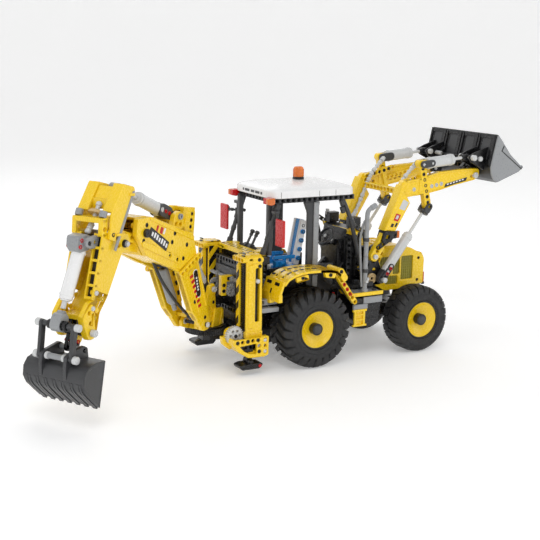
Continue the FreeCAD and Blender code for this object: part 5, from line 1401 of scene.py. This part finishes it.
    hoe("boom_inner_cylinder", "boom", "light_grey_plastic", pale)
    glands = []
    for end, towards, depth in (((47.0, 77.5), (66.0, 92.0), 7), ((127.8, 167.1), (113.0, 141.0), 12)):
        a, b = Vector((end[0], -3, end[1])), Vector((towards[0], -3, towards[1]))
        way = (a - b).normalized()
        glands += turned([(0, -depth), (3.4, -depth), (3.6, -3), (3.4, -0.6), (2.9, 0), (0, 0)], a,
                         a - way, 20)
    hoe("hose_glands", "boom", "dark_grey_plastic", glands)


# the hose's route, as in the CAD source
HOSE_ROUTE = [(127.8, 167.1), (113.0, 141.0), (89.0, 114.0), (66.0, 92.0), (47.0, 77.5)]


def hose():
    """The black hose, a cord that rides on the boom."""
    curve = bpy.data.curves.new("boom_hose_line", "CURVE")
    curve.dimensions = "3D"
    spline = curve.splines.new("NURBS")
    spline.points.add(len(HOSE_ROUTE) - 1)
    places = [HOE @ Vector((u, -3.0, z)) for u, z in HOSE_ROUTE]
    for knot, place in zip(spline.points, places):
        knot.co = (*place, 1)
    spline.order_u = 3
    spline.use_endpoint_u = True
    spline.resolution_u = 16
    curve.bevel_depth = 2.0 * MM
    curve.bevel_resolution = 5
    curve.use_fill_caps = True
    obj = bpy.data.objects.new("boom_hose_line", curve)
    bpy.context.scene.collection.objects.link(obj)
    curve.materials.append(MATERIALS["hose_rubber"])
    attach(obj, "boom")
    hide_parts("boom_hose")


def hoe_ram(name, bodies, base, eye, side, barrel, rod_run, slots, ends, sides, replaces):
    """A cylinder in the backhoe's plane."""
    ram(name, bodies, base, eye, side, barrel, rod_run, slots, ends, matrix=HOE, pair=False,
        sides=sides, replaces=replaces)


def boom_rams():
    """The boom and dipper cylinders with their pins."""
    foot = plate(capsule(BOOM_CYL_BASE, along(BOOM_CYL_BASE, BOOM_CYL_EYE, 13), 5.4), -6, 6,
                 holes=[BOOM_CYL_BASE])
    head = plate(capsule(BOOM_CYL_EYE, along(BOOM_CYL_EYE, BOOM_CYL_BASE, 9), 4.8), -6, 6,
                 holes=[BOOM_CYL_EYE])
    hoe_ram("boom_ram", ("boom_barrel", "boom_rod"), BOOM_CYL_BASE, BOOM_CYL_EYE, 0, (6.9, 10, 62),
            (2.3, 42, 95), ("silver_plastic", "silver_plastic", "dark_grey_plastic", "dark_grey_plastic"),
            (foot, head), 20, ("boom_barrel", "boom_rod"))
    foot = plate(capsule(DIPPER_BASE, along(DIPPER_BASE, DIPPER_EYE, 14), 5.6), -6.8, 6.8,
                 holes=[DIPPER_BASE, along(DIPPER_BASE, DIPPER_EYE, 10)])
    foot += plate(capsule(along(DIPPER_BASE, DIPPER_EYE, 12), along(DIPPER_BASE, DIPPER_EYE, 26), 8), -8,
                  8, holes=[along(DIPPER_BASE, DIPPER_EYE, 12), along(DIPPER_BASE, DIPPER_EYE, 20),
                            along(DIPPER_BASE, DIPPER_EYE, 28)])
    head = plate(capsule(DIPPER_EYE, along(DIPPER_EYE, DIPPER_BASE, 9), 4.8), -6, 6, holes=[DIPPER_EYE])
    hoe_ram("dipper_ram", ("dipper_barrel", "dipper_rod"), DIPPER_BASE, DIPPER_EYE, 0, (7.9, 22, 74),
            (2.3, 58, 110), ("silver_plastic", "silver_plastic", "dark_grey_plastic",
                             "light_grey_plastic"), (foot, head), 24, ("dipper_barrel", "dipper_rod"))
    pins = both(studs([along(DIPPER_BASE, DIPPER_EYE, 12), along(DIPPER_BASE, DIPPER_EYE, 20)], 8, 1,
                      proud=0.8))
    hoe("dipper_pins", "dipper_barrel", "red_plastic", pins)


def stick():
    """The stick with its covers, the bucket cylinder, the rockers and the links."""
    side = rounded([(196, 190), (210, 188), (238, 141.5), (252, 126), (259, 100), (274, 99), (283, 127),
                    (271, 141), (260.4, 143), (239.8, 215.4), (222, 214), (198, 208)], 2.5)
    holes = [(206, 198), (218, 206), (226, 209), (216, 197), (258, 150), (247, 141), (266, 134),
             (257, 130), (261, 122), (276, 121)]
    yellow = both(plate(side, 15.6, 21.6, holes=holes))
    for s0, s1 in ((9, 11.4), (19.2, 21.6)):
        yellow += both(plate([(239.6, 213.2), (244.4, 214.6), (264.8, 143.4), (260, 142.2)], s0, s1,
                             ease=0.3))
    for u, z in row((242.9, 211.8), (262.6, 144.6), 6):
        yellow += both(plate([(u - 2.9, z - 2.2), (u + 1.8, z - 0.9), (u + 1.0, z + 2.0),
                              (u - 3.7, z + 0.7)], 9, 21.6, ease=0.3))
    yellow += both(plate(rounded([(264, 142), (284, 126), (274, 98.4), (260, 99)], 8), 14, 23,
                         holes=[(269, 107), (270, 118), (272, 130)], ease=1.0,
                         windows=[rounded([(263.4, 128), (266, 114), (267.6, 114.6), (266.4, 128)], 1)]))
    yellow += plate([(217, 178), (240, 140), (243, 142), (220, 180)], -15, 15, ease=0.4)
    yellow += plate(rounded([(252, 126.4), (274, 126.4), (274, 120.4), (254, 120.4)], 1), -14, 14)
    yellow += brick(236, 245, -21.6, 21.6, 226, 231.6, ease=0.8)
    yellow += both(plate(rounded([(236, 230), (245, 230), (246.4, 212), (238, 211)], 1), 15.6, 21.6,
                         holes=[(241, 219)]))
    yellow += plate([(238, 141.5), (251, 126), (257.6, 104), (260.6, 105), (254.4, 128), (241, 144)],
                    -15, 15, ease=0.4)
    yellow += both(plate(capsule((266, 112), (271.4, 98), 4.2), 7.5, 8.5, holes=[(268.6, 105)]))
    yellow += brick(198, 206, -14, 14, 194, 202)
    yellow += brick(205, 222, -13.6, 13.6, 238, 250, holes=[(210, 244), (217, 244)])
    yellow += plate(rounded([(203, 246), (204, 259.6), (210, 263), (221, 248), (216, 240)], 1), -10, 10)
    hoe("stick_panels", "stick", "yellow_plastic", yellow)
    cover = rounded([(190, 256), (191, 261.6), (210, 266.6), (234, 234), (236, 216), (228, 208),
                     (213, 214)], 2)
    covers = plate(cover, 22.4, 25.6, ease=0.8)
    covers += plate(rounded([(190.6, 257), (191.6, 262), (210, 267), (232, 237.4), (227.6, 235),
                             (208, 261)], 1), 10.4, 25, ease=0.6)
    covers += plate(rounded([(224, 212), (236.4, 218), (238, 208), (228, 204)], 1), 22, 25.8,
                    holes=[(231, 212)])
    for u, z in ((200.6, 253.6), (226, 211)):
        covers += plate([(u - 8, z - 2.2), (u + 1, z - 1.2), (u + 0.6, z + 2), (u - 8.4, z + 1)], 25,
                        27.4, ease=0.5)
    hoe("stick_covers_yellow", "stick", "yellow_plastic", both(covers), replaces=["stick_covers"])
    strip = both(plate(rounded([(190.8, 257), (194.6, 257.6), (230.4, 194.6), (227, 192.4)], 1), 24.6,
                       26.4, ease=0.4))
    strip += both(rod((236.5, 17, 238.4), (239.6, 17, 231.6), 4.4))
    strip += both(plate(rounded([(240, 212), (257, 212), (264, 209), (264, 202), (256, 198.4),
                                 (242, 198)], 2), 9.2, 13.8, holes=[(258, 205), (248, 205)]))
    hoe("stick_strips", "stick", "light_grey_plastic", strip)
    pale = joint_shaft([(222, 246), (236, 224), (246, 213)], 0, 3.6)
    pale += both(knob((206, 28, 198), (206, 24, 198), 2.6, 2.4))
    pale += both(knob((266, 25, 134), (266, 20, 134), 2.8, 3.4))
    pale += both(knob((258, 23.4, 150), (258, 20, 150), 2.8, 3.4))
    pale += both(knob((269, 30, 107), (269, 24, 107), 4.2, 6.4))
    hoe("stick_shaft", "stick", "silver_plastic", pale)
    cone = turned([(2.4, 0), (9, 0), (9.6, 1), (6.6, 4.4), (2.4, 5)], (230, 0, 233), (222, 0, 246), 20,
                  loop=True)
    hoe("stick_bevel_gear", "stick", "tan_plastic", cone)
    dark = both(studs([(231, 212)], 25.8, 1, proud=0.2))
    dark += both(studs([(218, 206), (226, 209), (247, 141), (261, 122)], 21.6, 1, proud=0.1))
    dark += both(beam((264, 122), BUCKET_PIVOT, 4.4, 3.4, 7.6))
    dark += axle((269, -30, 107), (269, 30, 107))
    dark += axle((276, -20.5, 88), (276, 20.5, 88))
    dark += axle((258, -14, 205), (258, 14, 205))
    dark += both(studs([(269, 119), (272, 108)], 7.6, 1))
    dark += plate(rounded([(222, 214), (236, 210), (240, 200), (228, 196)], 2), -12, 12)
    dark += both(plate([(238.8, 212.6), (240.8, 213.2), (261.2, 142.8), (259.2, 142.2)], 9.4, 21.2, ease=0.1))
    hoe("stick_pins", "stick", "black_plastic", dark, replaces=["stick_frame"])
    red = both(studs([(274, 96)], 7.6, 1, proud=2))
    hoe("stick_pins_red", "stick", "red_plastic", red)

    base, eye = BUCKET_CYL_BASE, UPPER_AXLE
    block = plate(rounded([(247.6, 211), (258, 215.4), (271.6, 214), (273, 202), (268, 195),
                           (250, 196)], 3), -8, 8, ease=1.0, holes=[(258, 205)])
    block += both(plate(rounded([(250, 209), (268, 212.6), (270, 203), (266, 198.4), (252, 199.4)], 2),
                        7.8, 9, ease=0.5, holes=[(258, 205)]))
    head = plate(capsule(eye, along(eye, base, 6), 7.4), -6.8, 6.8, windows=[circle(eye, 5.6, 20)])
    head += plate(capsule(along(eye, base, 10), along(eye, base, 12.4), 4.0), -4.4, 4.4)
    hoe_ram("bucket_ram", ("bucket_barrel", "bucket_rod"), base, eye, 0, (7.6, 6, 66), (2.9, 30, 76),
            ("white_plastic", "silver_plastic", "light_grey_plastic", "light_grey_plastic"), (block, head), 8,
            ("bucket_barrel", "bucket_rod"))
    red = both(studs([(266, 209), (268, 202)], 9, 1, proud=0.8))
    hoe("bucket_ram_pins", "bucket_barrel", "red_plastic", red)
    arms = both(plate(capsule(ROCKER_PIVOT, UPPER_AXLE, 5.4), 8.8, 12.8, holes=[ROCKER_PIVOT],
                      windows=[circle(UPPER_AXLE, 4.2, 16)]))
    arms += both(plate(rounded([(275, 106), (290, 112), (289, 121), (274, 114)], 2), 8.2, 13.4,
                       holes=[(280, 111.5)]))
    hoe("rockers", "rocker", "black_plastic", arms, replaces=["rocker_arms"])
    bars = both(plate(rounded(capsule(UPPER_AXLE, LOWER_AXLE, 3.9), 0.6, 1), 20.4, 24.4,
                      holes=[LOWER_AXLE, UPPER_AXLE]))
    bars += both(tube((297, 13.4, 119), (297, 20, 119), 3.4, 1))
    bars += axle((297, -28, 119), (297, 28, 119))
    hoe("link_bars", "bucket_links", "dark_grey_plastic", bars, replaces=["bucket_links"])
    caps = both(knob((297, 30.6, 119), (297, 24, 119), 4.4, 6.2))
    hoe("link_caps", "bucket_links", "silver_plastic", caps)


def digger_bucket():
    """The backhoe bucket with its shafts and their caps."""
    outer = [(270, 79), (284, 80), (294, 78.6), (300, 76.5), (304.4, 73), (306.6, 69), (308, 63),
             (307.8, 58), (306, 52.4), (303, 48), (292, 37), (281, 27)]
    inner = [(282.4, 31), (291, 39.4), (301, 50), (303.6, 54), (305.2, 58.5), (305.2, 63), (304, 68),
             (302, 71.4), (298.8, 74), (292, 76), (284, 77), (270.5, 76)]
    shell = plate(outer + inner, -BUCKET_HALF + 2, BUCKET_HALF - 2, ease=0.4)
    cheeks = both(plate(rounded(outer, 1.5), 41, 43.3, ease=0.5))
    cheeks += both(plate(rounded([(270, 79), (273, 79), (283.4, 31), (281, 27)], 1), 38, 44.2 - 0.6,
                         ease=0.5))
    cheeks += both(plate([(283, 80), (300, 76.6), (306.6, 69), (308, 58), (303, 48), (281, 27),
                          (282.4, 30.6), (300.8, 49.4), (305.4, 58.4), (304, 67.6), (298.8, 74),
                          (284, 77)], 42.6, 43.5, ease=0.15))
    lugs = both(plate(rounded([(269.6, 78.8), (271, 90), (277, 93.5), (301, 90), (307, 87), (309, 76),
                               (308.6, 62), (305, 60), (303, 70), (298, 76), (284, 79)], 1.2), 14.8,
                      19.4, holes=[BUCKET_PIVOT, LOWER_AXLE]))
    ribs = []
    spine = [(307.9, 60), (306.4, 53), (303.4, 48), (292.4, 37), (281.2, 27)]
    for k in range(7):
        for shift in (-1.9, 1.9):
            s = -36 + 12 * k + shift
            rings = []
            for i, (u, z) in enumerate(spine):
                a, b = spine[max(0, i - 1)], spine[min(4, i + 1)]
                way = Vector((b[1] - a[1], a[0] - b[0])).normalized() * -1
                reach = (0.2, 1.9, 2.2, 2.2, 1.8)[i]
                out = (u - way.x * reach, z - way.y * reach)
                low = (u + way.x * 0.6, z + way.y * 0.6)
                rings.append([(low[0], s - 1.5, low[1]), (out[0], s - 0.8, out[1]),
                              (out[0], s + 0.8, out[1]), (low[0], s + 1.5, low[1])])
            ribs += loft(rings)
    teeth = []
    for s in range(-36, 37, 12):
        teeth += plate([(283.4, 31.6), (286.4, 31.8), (280.6, 24.8), (279.4, 25.4)], s - 3.2, s + 3.2,
                       ease=0.4)
    hoe("bucket_scoop", "backhoe_bucket", "dark_grey_plastic",
        shell + cheeks + lugs + ribs + teeth, replaces=["backhoe_bucket"])
    shaft = tube((302, -14.6, 84), (302, 14.6, 84), 3.4, 1.2)
    shaft += axle((302, -27, 84), (302, 27, 84))
    shaft += both(tube((276, 8, 88), (276, 14.6, 88), 3.4, 2.5))
    hoe("bucket_shafts", "backhoe_bucket", "light_grey_plastic", shaft)
    caps = both(knob((302, 30.4, 84), (302, 24.6, 84), 4.6, 5.6))
    caps += both(tube((302, 10, 84), (302, 13.6, 84), 4.3, 2.6))
    hoe("bucket_shaft_caps", "backhoe_bucket", "silver_plastic", caps)


turret()
boom()
hose()
boom_rams()
stick()
digger_bucket()


# ---------------------------------------------------------------- CAD nodes that stay: the centre frame
KEPT = {"chassis_frame": "black_plastic"}
for name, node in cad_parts.items():
    if node.hide_render:
        continue
    node.data.materials.clear()
    node.data.materials.append(MATERIALS[KEPT.get(name, "yellow_plastic")])


# ---------------------------------------------------------------- floor, light, camera
FLOOR_GLOW, SKY = 0.25, 0.25

SWEEP = [(0.02, 0), (1.5, 0), (3.0, 0)] + [(3.0 + 1.6 * math.sin(t), 1.6 - 1.6 * math.cos(t)) for t in
                                           [math.radians(7.5 * k) for k in range(1, 13)]] + [(4.6, 6.0)]
ROUND = [2 * math.pi * k / 96 for k in range(96)]
floor = bpy.data.meshes.new("studio_floor")
floor.from_pydata([(r * math.cos(t), r * math.sin(t), z) for r, z in SWEEP for t in ROUND], [],
                  [(96 * k + i, 96 * k + (i + 1) % 96, 96 * (k + 1) + (i + 1) % 96, 96 * (k + 1) + i)
                   for k in range(len(SWEEP) - 1) for i in range(96)] + [tuple(range(95, -1, -1))])
floor.polygons.foreach_set("use_smooth", [True] * len(floor.polygons))
floor_object = bpy.data.objects.new("studio_floor", floor)
bpy.context.scene.collection.objects.link(floor_object)
paint = plastic("floor_paint", (0.90, 0.90, 0.90), rough=0.7, vary=0.01, bump=0.02, grain=300.0)
glow = paint.node_tree.nodes["Principled BSDF"]
glow.inputs["Emission Color"].default_value = (1.0, 1.0, 1.0, 1)
glow.inputs["Emission Strength"].default_value = FLOOR_GLOW
floor.materials.append(paint)

world = bpy.data.worlds.new("studio")
bpy.context.scene.world = world
world.use_nodes = True
world.node_tree.nodes["Background"].inputs["Color"].default_value = (1.0, 1.0, 1.0, 1)
world.node_tree.nodes["Background"].inputs["Strength"].default_value = SKY


def lamp(name, at, aim, size, power, colour=(1, 1, 1)):
    """A soft rectangular lamp at a place, turned to its aim."""
    data = bpy.data.lights.new(name, "AREA")
    data.shape = "RECTANGLE"
    data.size, data.size_y = size
    data.energy = power
    data.color = colour
    obj = bpy.data.objects.new(name, data)
    bpy.context.scene.collection.objects.link(obj)
    obj.matrix_world = Matrix.Translation(at) @ (Vector(at) - Vector(aim)).to_track_quat("Z",
            "Y").to_matrix().to_4x4()


lamp("key", (-0.9, -1.3, 2.1), (0, 0, 0.1), (1.1, 1.1), 13)
lamp("fill", (1.6, -1.2, 0.9), (0, 0, 0.12), (1.2, 1.0), 2)
lamp("top", (0.1, 0.3, 2.2), (0, 0, 0.1), (1.4, 1.4), 6.5)
lamp("rim", (0.3, 1.8, 1.4), (0, 0, 0.15), (1.4, 0.8), 4)

LENS = 73.28  # mm on a 36 mm sensor
AZIMUTH, ELEVATION, ROLL = math.radians(-30.5), math.radians(11.9), math.radians(1.16)
DISTANCE = 1.5018
aim = Vector((-24.8 + 27.745, 49.835, 120.2)) * MM
backward = Vector((math.sin(AZIMUTH) * math.cos(ELEVATION), -math.cos(AZIMUTH) * math.cos(ELEVATION),
                   math.sin(ELEVATION)))
right = Vector((math.cos(AZIMUTH), math.sin(AZIMUTH), 0))
up = backward.cross(right)
turned_right = right * math.cos(ROLL) + up * math.sin(ROLL)
turned_up = up * math.cos(ROLL) - right * math.sin(ROLL)
camera_data = bpy.data.cameras.new("camera")
camera_data.sensor_width = 36
camera_data.lens = LENS
camera_data.clip_end = 50
camera = bpy.data.objects.new("camera", camera_data)
bpy.context.scene.collection.objects.link(camera)
camera.matrix_world = Matrix.Translation(aim + backward * DISTANCE) @ Matrix(
    (turned_right, turned_up, backward)).transposed().to_4x4()
bpy.context.scene.camera = camera
bpy.context.scene.view_settings.view_transform = "Standard"
